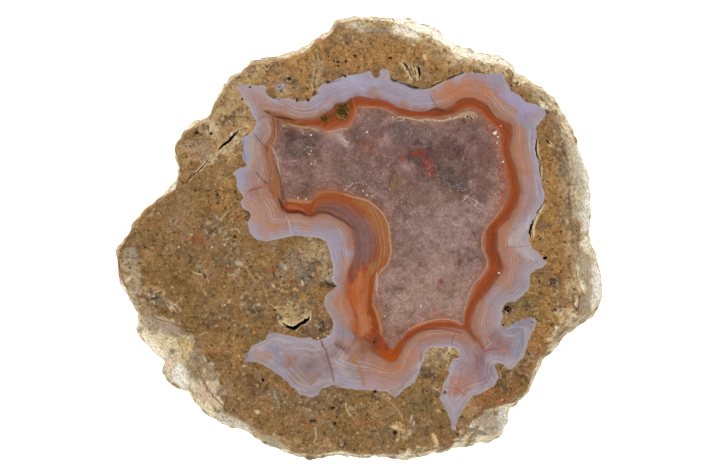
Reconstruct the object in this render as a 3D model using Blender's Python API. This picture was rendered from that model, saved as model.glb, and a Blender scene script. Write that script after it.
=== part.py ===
"""The lower half of an agate nodule, sawn and polished across its top, in metres with +Z up.

The nodule is one solid. It grew as a lumpy, roughly round body, was sawn a little above its widest
level, and had a small flat ground on its underside, on which it rests with the polished face level.
The origin is the centre of that flat. Open cracks and small pits are cut into the polished face.
"""

import math

import bmesh
import bpy
from mathutils import Vector, noise

# Driving sizes of the nodule: the polished face's width along x, and how high the face stands.
FACE_WIDTH = 0.0922
HEIGHT = 0.040

# The uncut body: how far it rose above its widest level, and how much was ground off underneath.
CROWN_RISE = 0.024
GROUND_OFF = 0.0028

# The outlines below were seen from straight above, from this far over the polished face.
VIEW_DISTANCE = 0.80
PHOTO_CENTRE = (359, 238)

# The nodule's widest outline as seen from above, in the photograph's pixels, x right and y down.
RIM_PX = [
    (116, 262), (117, 250), (126, 235), (136, 220), (146, 208), (160, 198), (172, 190), (176, 184),
    (178, 174), (178, 167), (175, 157), (175, 148), (178, 137), (186, 128), (196, 121), (206, 118),
    (209, 112), (214, 102), (218, 93), (226, 83), (240, 71), (250, 62), (260, 58), (272, 58),
    (282, 55), (295, 51), (308, 45), (320, 36), (331, 29), (335, 21), (344, 18), (357, 16),
    (373, 16), (390, 17), (405, 19), (422, 23), (436, 30), (448, 40), (460, 46), (478, 52),
    (497, 55), (508, 61), (517, 72), (532, 81), (547, 91), (558, 101), (564, 113), (571, 127),
    (578, 143), (583, 160), (588, 176), (591, 194), (590, 212), (588, 228), (590, 243), (597, 258),
    (602, 276), (602, 294), (600, 308), (592, 317), (579, 325), (567, 334), (558, 346), (545, 358),
    (536, 371), (532, 384), (529, 392), (518, 401), (510, 409), (507, 422), (502, 435), (489, 441),
    (470, 446), (452, 448), (437, 454), (420, 457), (400, 459), (382, 457), (360, 457), (340, 455),
    (324, 458), (307, 460), (294, 456), (280, 449), (264, 441), (250, 432), (234, 427), (219, 420),
    (206, 412), (197, 402), (190, 391), (178, 388), (167, 382), (162, 372), (165, 362), (155, 353),
    (144, 342), (136, 331), (139, 321), (136, 311), (128, 298), (120, 283),
]

# The edge of the polished face, where the saw left the rind.
FACE_PX = [
    (118, 262), (120, 250), (128, 237), (138, 221), (148, 210), (162, 200), (175, 191), (179, 182),
    (180, 168), (178, 157), (179, 144), (187, 133), (198, 126), (210, 120), (213, 108), (220, 95),
    (229, 85), (243, 73), (255, 64), (270, 63), (282, 61), (296, 59), (308, 53), (320, 42),
    (331, 34), (338, 25), (352, 21), (372, 20), (390, 22), (404, 27), (417, 33), (430, 39),
    (441, 47), (455, 55), (472, 61), (490, 64), (504, 66), (512, 75), (522, 86), (536, 94),
    (547, 104), (555, 117), (561, 131), (566, 146), (569, 161), (571, 178), (572, 196), (572, 213),
    (577, 227), (578, 240), (573, 252), (572, 266), (575, 282), (579, 297), (577, 311), (568, 321),
    (562, 331), (549, 343), (537, 356), (531, 369), (529, 382), (526, 391), (516, 398), (503, 403),
    (490, 405), (480, 407), (473, 416), (467, 428), (459, 440), (447, 445), (434, 449), (418, 452),
    (400, 453), (382, 451), (360, 452), (340, 450), (324, 453), (308, 454), (297, 450), (288, 444),
    (276, 437), (262, 430), (248, 423), (234, 413), (221, 403), (210, 391), (202, 378), (198, 364),
    (197, 350), (201, 337), (190, 328), (176, 323), (160, 319), (146, 314), (137, 304), (130, 294),
    (122, 281),
]

# Open cracks in the polished face: their width at the middle and depth in metres, and their course.
CRACKS = {
    "upper_left_crack": (
        0.0007, 0.0030, [(186, 182), (199, 172), (207, 160), (218, 150), (229, 141), (240, 130)],
    ),
    "lower_crack": (
        0.0007, 0.0025, [(281, 322), (289, 327), (296, 327), (303, 322), (311, 316)],
    ),
    "right_contact_crack": (
        0.0005, 0.0020, [(543, 203), (538, 211), (534, 219), (530, 228), (530, 237)],
    ),
    "upper_right_contact_crack": (
        0.0004, 0.0020, [(537, 138), (536, 150), (538, 162), (540, 176)],
    ),
    "top_slot_long": (0.0009, 0.0025, [(402, 62), (407, 68), (413, 77)]),
    "top_slot_middle": (0.0008, 0.0025, [(415, 65), (418, 71), (421, 77)]),
}

# Pits in the polished face: radius and depth in metres, and their place.
PITS = {
    "lower_right_pit": (0.0010, 0.0010, (508, 311)),
    "contact_pit": (0.0006, 0.0012, (545, 257)),
    "right_ring_pit": (0.0011, 0.0006, (553, 280)),
    "bottom_pit": (0.0007, 0.0008, (395, 433)),
}

# Lumps of the rind: height, breadth and the place in the noise that each size of lump is read from.
# Low rises are rounded both ways, and knobs meet in creases, whose depth is a share of their height.
# The lumps stand out from a point on the nodule's axis, at this share of its height.
LOW_RISES = (0.0040, 0.022, Vector((3.1, 0.4, 7.7)))
KNOBS = (0.0034, 0.0125, Vector((0.9, 5.2, 2.3)))
CREASE_DEPTH = 0.3
LUMPS_AIM = 0.7

# Under the widest level, by angle round the body: the lumps grow to their full height, the
# outline's lobes even out, and on the way down they wander sideways by up to this angle.
LUMPS_GROW = math.radians(26)
LOBES_EVEN_OUT = math.radians(62)
LOBES_WANDER = math.radians(30)
WANDER_BREADTH = 0.020
LUMPS_LEFT_UNDERNEATH = 0.45

# The widest level reaches out past the face's edge by at least this share of the radius.
LEAST_OVERHANG = 0.003

# The rind stays this far under the polished face, and points this near to the flat lie on it.
UNDER_FACE = 0.0003
NEAR_FLAT = 0.00002
WELD = 0.00001

# The outline's lobes even out towards its mean radius over this angle to each side.
EVENING_REACH = math.radians(24)
EVENING_STEPS = 9

CRACK_END_WIDTH = 0.1
CRACK_TAPER = 0.7
PIT_NARROWNESS = 0.85

SEGMENTS = 150
RINGS = 31

PIXEL = FACE_WIDTH / (max(x for x, _ in FACE_PX) - min(x for x, _ in FACE_PX))


def clear_scene():
    for old in list(bpy.data.objects):
        bpy.data.objects.remove(old)


def collection(name):
    """A new collection in the scene."""
    made = bpy.data.collections.new(name)
    bpy.context.scene.collection.children.link(made)
    return made


def on_face(place):
    """A pixel of the photograph as x and y in metres on the polished face."""
    return (place[0] - PHOTO_CENTRE[0]) * PIXEL, (PHOTO_CENTRE[1] - place[1]) * PIXEL


def as_polar(outline_px):
    """An outline as (angle, radius) pairs round the origin, by angle, with its ends repeated."""
    places = [on_face(p) for p in outline_px]
    pairs = sorted((math.atan2(y, x), math.hypot(x, y)) for x, y in places)
    before = (pairs[-1][0] - math.tau, pairs[-1][1])
    after = (pairs[0][0] + math.tau, pairs[0][1])
    return [before, *pairs, after]


def radius_at(polar, angle):
    """The outline's radius at an angle, between its two nearest points."""
    angle = math.remainder(angle, math.tau)
    for (a0, r0), (a1, r1) in zip(polar, polar[1:]):
        if a0 <= angle <= a1:
            return r0 + (r1 - r0) * (angle - a0) / (a1 - a0)
    return polar[-1][1]


def mean_radius_at(polar, angle):
    """The outline's radius averaged over the angles within reach."""
    shifts = [EVENING_REACH * (2 * i / (EVENING_STEPS - 1) - 1) for i in range(EVENING_STEPS)]
    return sum(radius_at(polar, angle + shift) for shift in shifts) / EVENING_STEPS


def smooth_step(value, start, end):
    share = min(max((value - start) / (end - start), 0.0), 1.0)
    return share * share * (3 - 2 * share)


def rind_point(rim, face, angle, down):
    """A point of the rind at an angle, from the face's edge (down 0) to the lowest point (down 1)."""
    face_radius = radius_at(face, angle)
    rim_radius = max(radius_at(rim, angle), face_radius * (1 + LEAST_OVERHANG))
    rise_angle = math.acos(face_radius / rim_radius)
    drop = CROWN_RISE * math.sin(rise_angle)
    widest_level = HEIGHT - drop
    seen_nearer = 1 + drop / VIEW_DISTANCE
    latitude = rise_angle - down * (rise_angle + math.pi / 2)
    reach = CROWN_RISE if latitude > 0 else widest_level + GROUND_OFF
    out = Vector((math.cos(angle), math.sin(angle), 0.0))
    level = widest_level + reach * math.sin(latitude)
    evened = smooth_step(-latitude, 0.0, LOBES_EVEN_OUT)
    if evened > 0:
        place = (out * rim_radius + Vector((0, 0, level))) / WANDER_BREADTH
        rim_radius = radius_at(rim, angle + LOBES_WANDER * evened * noise.noise(place))
    radius = rim_radius + (mean_radius_at(rim, angle) - rim_radius) * evened
    radius *= 1 + (seen_nearer - 1) * smooth_step(rise_angle - latitude, 0.0, rise_angle)
    point = out * radius * math.cos(latitude) + Vector((0, 0, level))
    if latitude > 0:
        share = math.sin(math.pi * latitude / rise_angle) ** 2 * drop / CROWN_RISE
    else:
        share = smooth_step(-latitude, 0.0, LUMPS_GROW)
        share *= 1 - (1 - LUMPS_LEFT_UNDERNEATH) * smooth_step(-latitude, LUMPS_GROW, math.pi / 2)
    return lumped(point, share)


def lumped(point, share):
    """The point moved in or out by a share of the rind's lumps."""
    away = (point - Vector((0, 0, HEIGHT * LUMPS_AIM))).normalized()
    height, breadth, place = LOW_RISES
    lump = height * noise.noise(point / breadth + place)
    height, breadth, place = KNOBS
    lump += height * (abs(noise.noise(point / breadth + place)) - CREASE_DEPTH)
    return point + away * share * lump


def shape_nodule(bm):
    """Turns a sphere into the nodule: its first ring is the polished face's edge."""
    rim, face = as_polar(RIM_PX), as_polar(FACE_PX)
    for vert in bm.verts:
        ring = round(math.acos(max(-1.0, min(1.0, vert.co.z))) / math.pi * RINGS)
        angle = math.atan2(vert.co.y, vert.co.x)
        if ring == 0:
            vert.co = (0, 0, HEIGHT)
        else:
            vert.co = rind_point(rim, face, angle, (ring - 1) / (RINGS - 1))
            vert.co.z = HEIGHT if ring == 1 else min(vert.co.z, HEIGHT - UNDER_FACE)


def grind_flat(bm):
    """Takes off what lies under the resting flat, and closes the flat."""
    everything = list(bm.verts) + list(bm.edges) + list(bm.faces)
    sliced = bmesh.ops.bisect_plane(
        bm, geom=everything, dist=WELD, plane_co=(0, 0, 0), plane_no=(0, 0, -1), clear_outer=True
    )
    for vert in bm.verts:
        if abs(vert.co.z) < NEAR_FLAT:
            vert.co.z = 0
    edges = [part for part in sliced["geom_cut"] if isinstance(part, bmesh.types.BMEdge)]
    bmesh.ops.edgeloop_fill(bm, edges=edges)


def centre_on_origin(bm):
    """Moves the nodule so that the middle of its box stands over the origin."""
    xs = [v.co.x for v in bm.verts]
    ys = [v.co.y for v in bm.verts]
    shift = Vector((-(min(xs) + max(xs)) / 2, -(min(ys) + max(ys)) / 2, 0))
    bmesh.ops.translate(bm, vec=shift, verts=bm.verts)
    return shift


def make_nodule(home):
    """The uncracked nodule, and how far it was moved to stand over the origin."""
    bm = bmesh.new()
    bmesh.ops.create_uvsphere(bm, u_segments=SEGMENTS, v_segments=RINGS, radius=1.0)
    top_pole = [v for v in bm.verts if v.co.z > 0.9999]
    shape_nodule(bm)
    bmesh.ops.dissolve_verts(bm, verts=top_pole)
    grind_flat(bm)
    bmesh.ops.recalc_face_normals(bm, faces=bm.faces)
    shift = centre_on_origin(bm)
    mesh = bpy.data.meshes.new("agate_nodule")
    bm.to_mesh(mesh)
    bm.free()
    nodule = bpy.data.objects.new("agate_nodule", mesh)
    home.objects.link(nodule)
    return nodule, shift


def crack_outline(course_px, width):
    """A sliver that follows the course, full width at the middle and narrow at the ends."""
    course = [Vector(on_face(p)) for p in course_px]
    left, right = [], []
    for i, point in enumerate(course):
        along = course[min(i + 1, len(course) - 1)] - course[max(i - 1, 0)]
        across = Vector((-along.y, along.x)).normalized()
        share = i / (len(course) - 1)
        half = width / 2 * max(math.sin(math.pi * share) ** CRACK_TAPER, CRACK_END_WIDTH)
        left.append(point + across * half)
        right.append(point - across * half)
    return left + right[::-1]


def crack_cutter(name, width, depth, course_px, shift, home):
    """A filled flat outline, made as thick as the crack is deep and set across the polished face."""
    curve = bpy.data.curves.new(name, "CURVE")
    curve.dimensions = "2D"
    curve.fill_mode = "BOTH"
    curve.extrude = depth
    outline = crack_outline(course_px, width)
    spline = curve.splines.new("POLY")
    spline.points.add(len(outline) - 1)
    for point, place in zip(spline.points, outline):
        point.co = (place.x, place.y, 0.0, 1.0)
    spline.use_cyclic_u = True
    flat = bpy.data.objects.new(name + "_outline", curve)
    home.objects.link(flat)
    flat.location = shift + Vector((0, 0, HEIGHT))
    bpy.context.view_layer.update()
    evaluated = flat.evaluated_get(bpy.context.evaluated_depsgraph_get())
    mesh = bpy.data.meshes.new_from_object(evaluated)
    bm = bmesh.new()
    bm.from_mesh(mesh)
    bmesh.ops.remove_doubles(bm, verts=bm.verts, dist=WELD)
    bmesh.ops.recalc_face_normals(bm, faces=bm.faces)
    bm.to_mesh(mesh)
    bm.free()
    cutter = bpy.data.objects.new(name, mesh)
    cutter.matrix_world = flat.matrix_world.copy()
    home.objects.link(cutter)
    bpy.data.objects.remove(flat)
    return cutter


def pit_cutter(name, radius, depth, place_px, shift, home):
    """An egg-shaped cutter whose lower half is the pit."""
    bm = bmesh.new()
    bmesh.ops.create_icosphere(bm, subdivisions=2, radius=1.0)
    bmesh.ops.scale(bm, vec=(radius, radius * PIT_NARROWNESS, depth), verts=bm.verts)
    mesh = bpy.data.meshes.new(name)
    bm.to_mesh(mesh)
    bm.free()
    cutter = bpy.data.objects.new(name, mesh)
    cutter.location = shift + Vector((*on_face(place_px), HEIGHT))
    home.objects.link(cutter)
    return cutter


def cut(solid, cutter):
    """Cuts the cutter's shape out of the solid, and shows the cutter as a wire only."""
    cutter.hide_render = True
    cutter.display_type = "WIRE"
    boolean = solid.modifiers.new(cutter.name, "BOOLEAN")
    boolean.operation = "DIFFERENCE"
    boolean.object = cutter


def stone_material():
    """Tan jasper, between polished and weathered, which covers most of the stone."""
    material = bpy.data.materials.new("jasper")
    material.use_nodes = True
    shader = material.node_tree.nodes["Principled BSDF"]
    shader.inputs["Base Color"].default_value = (0.33, 0.19, 0.08, 1.0)
    shader.inputs["Roughness"].default_value = 0.45
    shader.inputs["Metallic"].default_value = 0.0
    return material


def main():
    clear_scene()
    parts = collection("agate_nodule_half")
    cutters = collection("cutters")
    nodule, shift = make_nodule(parts)
    nodule.data.materials.append(stone_material())
    nodule.data.shade_smooth()
    nodule.data.set_sharp_from_angle(angle=math.radians(40))
    for name, (width, depth, course) in CRACKS.items():
        cut(nodule, crack_cutter(name, width, depth, course, shift, cutters))
    for name, (radius, depth, place) in PITS.items():
        cut(nodule, pit_cutter(name, radius, depth, place, shift, cutters))


main()
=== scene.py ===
"""The half agate nodule as it looks: a banded agate in tan jasper, polished, in its pale rough rind."""

import math

import bpy
import numpy as np
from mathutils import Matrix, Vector, kdtree, noise
from mathutils.geometry import delaunay_2d_cdt


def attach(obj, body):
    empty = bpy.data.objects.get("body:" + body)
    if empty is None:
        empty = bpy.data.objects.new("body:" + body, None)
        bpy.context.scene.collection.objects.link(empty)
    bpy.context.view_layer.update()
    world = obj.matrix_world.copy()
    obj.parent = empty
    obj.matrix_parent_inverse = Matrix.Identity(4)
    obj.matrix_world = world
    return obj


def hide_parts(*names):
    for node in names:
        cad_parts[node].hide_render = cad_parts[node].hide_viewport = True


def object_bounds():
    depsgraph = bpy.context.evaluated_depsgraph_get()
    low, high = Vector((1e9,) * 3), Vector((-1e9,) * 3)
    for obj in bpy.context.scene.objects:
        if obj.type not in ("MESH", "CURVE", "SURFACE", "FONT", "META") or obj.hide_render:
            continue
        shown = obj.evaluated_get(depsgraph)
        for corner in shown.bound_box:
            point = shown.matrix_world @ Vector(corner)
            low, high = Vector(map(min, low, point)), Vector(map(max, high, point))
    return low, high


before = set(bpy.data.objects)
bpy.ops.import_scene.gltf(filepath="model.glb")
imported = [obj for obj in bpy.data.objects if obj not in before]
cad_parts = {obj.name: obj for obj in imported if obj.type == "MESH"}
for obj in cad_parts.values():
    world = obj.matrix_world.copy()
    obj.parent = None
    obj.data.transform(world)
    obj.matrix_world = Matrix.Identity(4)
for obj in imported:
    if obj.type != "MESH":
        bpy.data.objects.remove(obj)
solid_low, solid_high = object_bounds()


# The rind is the nodule's weathered outside: pale, chalky, lumpy and pitted. It is the same stone as
# the inside. It is shaped from a sphere whose first ring is the sawn edge, and a small flat is ground
# on its underside, on which the stone rests.

# Lengths are in metres, unless a name ends in PX.
FACE_WIDTH = 0.0922
HEIGHT = solid_high[2]
CROWN_RISE = 0.024
GROUND_OFF = 0.0028
VIEW_DISTANCE = 0.80
# The photograph's pixel over the middle of the stone.
FACE_CENTRE_PX = (359, 238)

# The nodule's widest outline from straight above, in the photograph's pixels, x right and y down.
RIM_PX = [
    (116, 262), (117, 250), (126, 235), (136, 220), (146, 208), (160, 198), (172, 190), (176, 184),
    (178, 174), (178, 167), (175, 157), (175, 148), (178, 137), (186, 128), (196, 121), (206, 118),
    (209, 112), (214, 102), (218, 93), (226, 83), (240, 71), (250, 62), (260, 58), (272, 58), (282, 55),
    (295, 51), (308, 45), (320, 36), (331, 29), (335, 21), (344, 18), (357, 16), (373, 16), (390, 17),
    (405, 19), (422, 23), (436, 30), (448, 40), (460, 46), (478, 52), (497, 55), (508, 61), (517, 72),
    (532, 81), (547, 91), (558, 101), (564, 113), (571, 127), (578, 143), (583, 160), (588, 176),
    (591, 194), (590, 212), (588, 228), (590, 243), (597, 258), (602, 276), (602, 294), (600, 308),
    (592, 317), (579, 325), (567, 334), (558, 346), (545, 358), (536, 371), (532, 384), (529, 392),
    (518, 401), (510, 409), (507, 422), (502, 435), (489, 441), (470, 446), (452, 448), (437, 454),
    (420, 457), (400, 459), (382, 457), (360, 457), (340, 455), (324, 458), (307, 460), (294, 456),
    (280, 449), (264, 441), (250, 432), (234, 427), (219, 420), (206, 412), (197, 402), (190, 391),
    (178, 388), (167, 382), (162, 372), (165, 362), (155, 353), (144, 342), (136, 331), (139, 321),
    (136, 311), (128, 298), (120, 283),
]
# The sawn edge of the polished face.
FACE_PX = [
    (118, 262), (120, 250), (128, 237), (138, 221), (148, 210), (162, 200), (175, 191), (179, 182),
    (180, 168), (178, 157), (179, 144), (187, 133), (198, 126), (210, 120), (213, 108), (220, 95),
    (229, 85), (243, 73), (255, 64), (270, 63), (282, 61), (296, 59), (308, 53), (320, 42), (331, 34),
    (338, 25), (352, 21), (372, 20), (390, 22), (404, 27), (417, 33), (430, 39), (441, 47), (455, 55),
    (472, 61), (490, 64), (504, 66), (512, 75), (522, 86), (536, 94), (547, 104), (555, 117), (561, 131),
    (566, 146), (569, 161), (571, 178), (572, 196), (572, 213), (577, 227), (578, 240), (573, 252),
    (572, 266), (575, 282), (579, 297), (577, 311), (568, 321), (562, 331), (549, 343), (537, 356),
    (531, 369), (529, 382), (526, 391), (516, 398), (503, 403), (490, 405), (480, 407), (473, 416),
    (467, 428), (459, 440), (447, 445), (434, 449), (418, 452), (400, 453), (382, 451), (360, 452),
    (340, 450), (324, 453), (308, 454), (297, 450), (288, 444), (276, 437), (262, 430), (248, 423),
    (234, 413), (221, 403), (210, 391), (202, 378), (198, 364), (197, 350), (201, 337), (190, 328),
    (176, 323), (160, 319), (146, 314), (137, 304), (130, 294), (122, 281),
]
PIXEL = FACE_WIDTH / (max(x for x, _ in FACE_PX) - min(x for x, _ in FACE_PX))

# The solid's own lumps: height, breadth, and the place in the noise that they are read from.
LOW_RISES = (0.0040, 0.022, (3.1, 0.4, 7.7))
KNOBS = (0.0034, 0.0125, (0.9, 5.2, 2.3))
CREASE_DEPTH = 0.3
LUMPS_AIM = 0.7
LUMPS_GROW = math.radians(26)
LOBES_EVEN_OUT = math.radians(62)
LOBES_WANDER = math.radians(30)
WANDER_BREADTH = 0.020
LUMPS_LEFT_UNDERNEATH = 0.45
LEAST_OVERHANG = 0.003
EVENING_REACH = math.radians(24)
EVENING_STEPS = 9
SOLID_SEGMENTS, SOLID_RINGS = 150, 31

# The rind's finer relief, which only the dressed stone has: height, breadth and place in the noise.
WARTS = (0.0008, 0.0042, (8.2, 1.7, 4.4))
GRAINS = (0.00045, 0.0016, (2.6, 9.1, 6.3))
GNAWED = (0.0008, 0.0030, (5.5, 3.3, 1.1))
RELIEF_STARTS = 0.0015
RELIEF_ENDS = 0.004
GNAWED_MORE = 0.1
SEGMENTS, RINGS = 640, 48
CROWDED_UPWARDS = 1.6
# How far the rind stays below the face all round the sawn edge.
A_HAIR = 0.00005
CUT_WITHIN = 0.00001


def to_metres(points):
    """Pixels of the photograph as x and y in metres, before the stone is moved over the origin."""
    points = np.array(points, float)
    return (points - FACE_CENTRE_PX) * (PIXEL, -PIXEL)


def polar(points_px):
    """An outline as its angles and radii, in order of angle."""
    x, y = to_metres(points_px).T
    order = np.argsort(np.arctan2(y, x))
    return np.arctan2(y, x)[order], np.hypot(x, y)[order]


def radius_at(outline, angle):
    return np.interp(angle, *outline, period=math.tau)


def smooth_step(value, start, end):
    share = np.clip((value - start) / (end - start), 0.0, 1.0)
    return share * share * (3 - 2 * share)


def noise_at(places, breadth, origin):
    """The noise at each place, between -1 and 1, with rises of about the breadth."""
    return np.array([noise.noise(Vector(p)) for p in (places / breadth + origin).tolist()])


def rind_points(angle, down):
    """The rind at these angles, from the sawn edge (down 0) to the lowest point (down 1)."""
    rim, face = polar(RIM_PX), polar(FACE_PX)
    face_radius = radius_at(face, angle)
    rim_radius = np.maximum(radius_at(rim, angle), face_radius * (1 + LEAST_OVERHANG))
    rise_angle = np.arccos(face_radius / rim_radius)
    drop = CROWN_RISE * np.sin(rise_angle)
    widest_level = HEIGHT - drop
    latitude = rise_angle - down * (rise_angle + math.pi / 2)
    reach = np.where(latitude > 0, CROWN_RISE, widest_level + GROUND_OFF)
    out = np.stack([np.cos(angle), np.sin(angle), np.zeros_like(angle)], 1)
    level = widest_level + reach * np.sin(latitude)
    up = np.stack([np.zeros_like(level), np.zeros_like(level), level], 1)
    evened = smooth_step(-latitude, 0.0, LOBES_EVEN_OUT)
    wander = noise_at(out * rim_radius[:, None] + up, WANDER_BREADTH, (0, 0, 0))
    under = latitude < 0
    rim_radius = np.where(under, radius_at(rim, angle + LOBES_WANDER * evened * wander), rim_radius)
    shifts = np.linspace(-EVENING_REACH, EVENING_REACH, EVENING_STEPS)
    even_radius = np.mean([radius_at(rim, angle + shift) for shift in shifts], axis=0)
    radius = rim_radius + (even_radius - rim_radius) * evened
    near = smooth_step((rise_angle - latitude) / rise_angle, 0.0, 1.0)
    radius *= 1 + drop / VIEW_DISTANCE * near
    points = out * (radius * np.cos(latitude))[:, None] + up
    crown_share = np.sin(math.pi * np.clip(latitude / rise_angle, 0, 1)) ** 2 * drop / CROWN_RISE
    left = 1 - (1 - LUMPS_LEFT_UNDERNEATH) * smooth_step(-latitude, LUMPS_GROW, math.pi / 2)
    share = np.where(under, smooth_step(-latitude, 0.0, LUMPS_GROW) * left, crown_share)
    away = points - (0, 0, HEIGHT * LUMPS_AIM)
    away /= np.linalg.norm(away, axis=1)[:, None]
    lump = LOW_RISES[0] * noise_at(points, *LOW_RISES[1:])
    lump += KNOBS[0] * (np.abs(noise_at(points, *KNOBS[1:])) - CREASE_DEPTH)
    return points + away * (share * lump)[:, None]


def relief_on(points):
    """How far the warts, grains and gnawed hollows move each point of the rind out."""
    warts = WARTS[0] * (np.abs(noise_at(points, *WARTS[1:])) - CREASE_DEPTH)
    grains = GRAINS[0] * noise_at(points, *GRAINS[1:])
    gnawed = GNAWED[0] * np.minimum(noise_at(points, *GNAWED[1:]) + GNAWED_MORE, 0.0)
    below_face = smooth_step(HEIGHT - points[:, 2], 0.0, RELIEF_STARTS)
    return (warts + grains + gnawed) * below_face * smooth_step(points[:, 2], 0.0, RELIEF_ENDS)


def sphere_rings(segments, rings):
    """Each ring and angle of a sphere, as one long row of angles and one of shares down."""
    angle = np.tile(np.arange(segments) * math.tau / segments, rings - 1)
    down = np.repeat(np.arange(rings - 1) / (rings - 1), segments)
    return angle, down


solid = rind_points(*sphere_rings(SOLID_SEGMENTS, SOLID_RINGS))
over_origin = -(solid.min(axis=0) + solid.max(axis=0))[:2] / 2

bpy.ops.object.select_all(action="DESELECT")
bpy.ops.mesh.primitive_uv_sphere_add(segments=SEGMENTS, ring_count=RINGS, radius=1.0)
rind = bpy.context.object
rind.name = "agate_nodule_stone"
ball = np.array([v.co for v in rind.data.vertices])
ball_ring = np.rint(np.arccos(np.clip(ball[:, 2], -1, 1)) / math.pi * RINGS)
ball_angle = np.arctan2(ball[:, 1], ball[:, 0])
ball_down = (np.maximum(ball_ring - 1, 0) / (RINGS - 1)) ** CROWDED_UPWARDS
shaped = rind_points(ball_angle, ball_down)
outward = shaped - (0, 0, HEIGHT * LUMPS_AIM)
outward /= np.linalg.norm(outward, axis=1)[:, None]
shaped += outward * relief_on(shaped)[:, None]
shaped[:, :2] += over_origin
shaped[:, 2] = np.where(ball_ring <= 1, HEIGHT, np.minimum(shaped[:, 2], HEIGHT - A_HAIR))
rind.data.vertices.foreach_set("co", shaped.ravel())
bpy.ops.object.mode_set(mode="EDIT")
bpy.ops.mesh.select_mode(type="VERT")
bpy.ops.mesh.select_all(action="DESELECT")
bpy.ops.object.mode_set(mode="OBJECT")
for vertex, ring in zip(rind.data.vertices, ball_ring):
    vertex.select = bool(ring == 0)
bpy.ops.object.mode_set(mode="EDIT")
bpy.ops.mesh.delete(type="VERT")
bpy.ops.mesh.select_all(action="SELECT")
bpy.ops.mesh.bisect(
    plane_co=(0, 0, 0), plane_no=(0, 0, 1), use_fill=True, clear_inner=True, threshold=CUT_WITHIN
)
bpy.ops.object.mode_set(mode="OBJECT")


# The polished face is the sawn top of the nodule. It is flat, but for cracks that stand open, slots
# and small pits. It is laid out on the lines of its cracks and hairlines, so that they stay sharp.

# Open cracks: width and depth in metres, and course.
OPEN_CRACKS = [
    (0.00026, 0.0009, [(180, 186), (184, 183), (189, 180), (190, 177), (194, 174), (199, 170), (203, 166),
        (206, 163), (208, 159), (210, 155)]),
    (0.0007, 0.0013, [(218, 151), (221, 147), (225, 144), (229, 141), (232, 137), (236, 133), (239, 130)]),
    (0.0002, 0.0006, [(206, 163), (209, 162), (212, 162)]),
    (0.001, 0.0026, [(281, 322), (285, 324), (289, 327), (294, 328), (299, 325), (304, 322), (308, 319),
        (311, 315)]),
    (0.0002, 0.0006, [(302, 311), (305, 314), (307, 317)]),
    (0.0005, 0.002, [(543, 203), (541, 207), (538, 212), (535, 218), (532, 225), (530, 231), (531, 239)]),
    (0.0005, 0.0016, [(536, 138), (536, 147), (537, 154), (539, 161)]),
    (0.00025, 0.0008, [(540, 162), (540, 170), (541, 178)]),
    (0.0007, 0.002, [(403, 62), (408, 70), (413, 79)]), (0.0003, 0.0012, [(413, 65), (415, 70), (416, 77)]),
    (0.0006, 0.0018, [(417, 65), (419, 70), (420, 78)]),
    (0.0003, 0.0012, [(545, 139), (548, 142), (551, 145)]),
    (0.0004, 0.001, [(510, 84), (511, 88), (512, 92)]),
    (0.0004, 0.001, [(406, 83), (411, 86), (417, 88), (421, 89)]),
    (0.0003, 0.0008, [(430, 87), (436, 84), (442, 81)]),
    (0.00025, 0.0006, [(448, 79), (455, 76), (463, 73)]),
]
# Their taper to the ends, and how far they stray in metres. Their width varies by that times a number
# per metre. Bends and bulges are the breadth of the noise for each.
CRACK_END_WIDTH = 0.1
CRACK_TAPER = 0.7
CRACK_STRAYS, CRACK_BENDS = 0.00026, 0.0005
CRACK_VARIES, CRACK_BULGES = 2500, 0.0009

# Pits: radius and depth in metres, and place.
PITS = [
    (0.0009, 0.0011, (508, 309)), (0.0006, 0.0012, (545, 258)), (0.0011, 0.0004, (553, 281)),
    (0.0007, 0.0008, (395, 433)), (0.0004, 0.0005, (338, 62)), (0.0004, 0.0005, (346, 61)),
    (0.0004, 0.0005, (355, 56)), (0.0004, 0.0005, (390, 58)), (0.0004, 0.0006, (263, 380)),
    (0.0005, 0.0006, (333, 408)), (0.0004, 0.0005, (335, 423)), (0.0007, 0.0006, (313, 421)),
    (0.0005, 0.0005, (289, 79)), (0.0004, 0.0005, (375, 392)), (0.0005, 0.0005, (555, 310)),
    (0.0003, 0.0004, (218, 195)), (0.0003, 0.0004, (235, 192)), (0.0004, 0.0005, (235, 237)),
    (0.0004, 0.0005, (197, 133)), (0.0003, 0.0004, (211, 134)), (0.0004, 0.0004, (345, 443)),
]
PIT_SIDES = 10
PIT_NARROWNESS = 0.8
# The floor of a pit: its breadth and its depth, as shares of the pit's own.
PIT_FLOOR, PIT_FLOOR_DEPTH = 0.55, 0.8

# Hairlines that have healed: dark ones, pale ones and rust-red ones.
DARK_HAIRLINES = [
    [(267, 68), (270, 64), (275, 60)],
    [(118, 256), (134, 250), (150, 242), (166, 236), (176, 232), (190, 232)],
    [(222, 222), (214, 230), (206, 236), (196, 242), (182, 252), (176, 256)],
    [(240, 205), (230, 214), (222, 222)], [(310, 287), (314, 303), (319, 320), (322, 334)],
    [(190, 270), (178, 276), (166, 286), (146, 292)], [(218, 104), (225, 101), (234, 100)],
    [(239, 117), (244, 118), (249, 117)], [(152, 305), (170, 312), (196, 318), (226, 322)],
    [(300, 262), (306, 272), (312, 280), (322, 286)], [(466, 60), (460, 66), (461, 72)],
    [(545, 226), (556, 224), (568, 220)], [(540, 292), (550, 296), (562, 294)],
    [(196, 190), (212, 196), (226, 208)], [(258, 404), (262, 420), (270, 434)],
]
PALE_HAIRLINES = [
    [(318, 58), (317, 66), (313, 74), (311, 82), (313, 90)], [(321, 60), (324, 66), (320, 74), (316, 84)],
    [(345, 405), (350, 414), (357, 424)], [(538, 212), (534, 222), (533, 233), (534, 240)],
    [(398, 61), (406, 71), (411, 79)], [(414, 66), (417, 73), (418, 79)],
]
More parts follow.
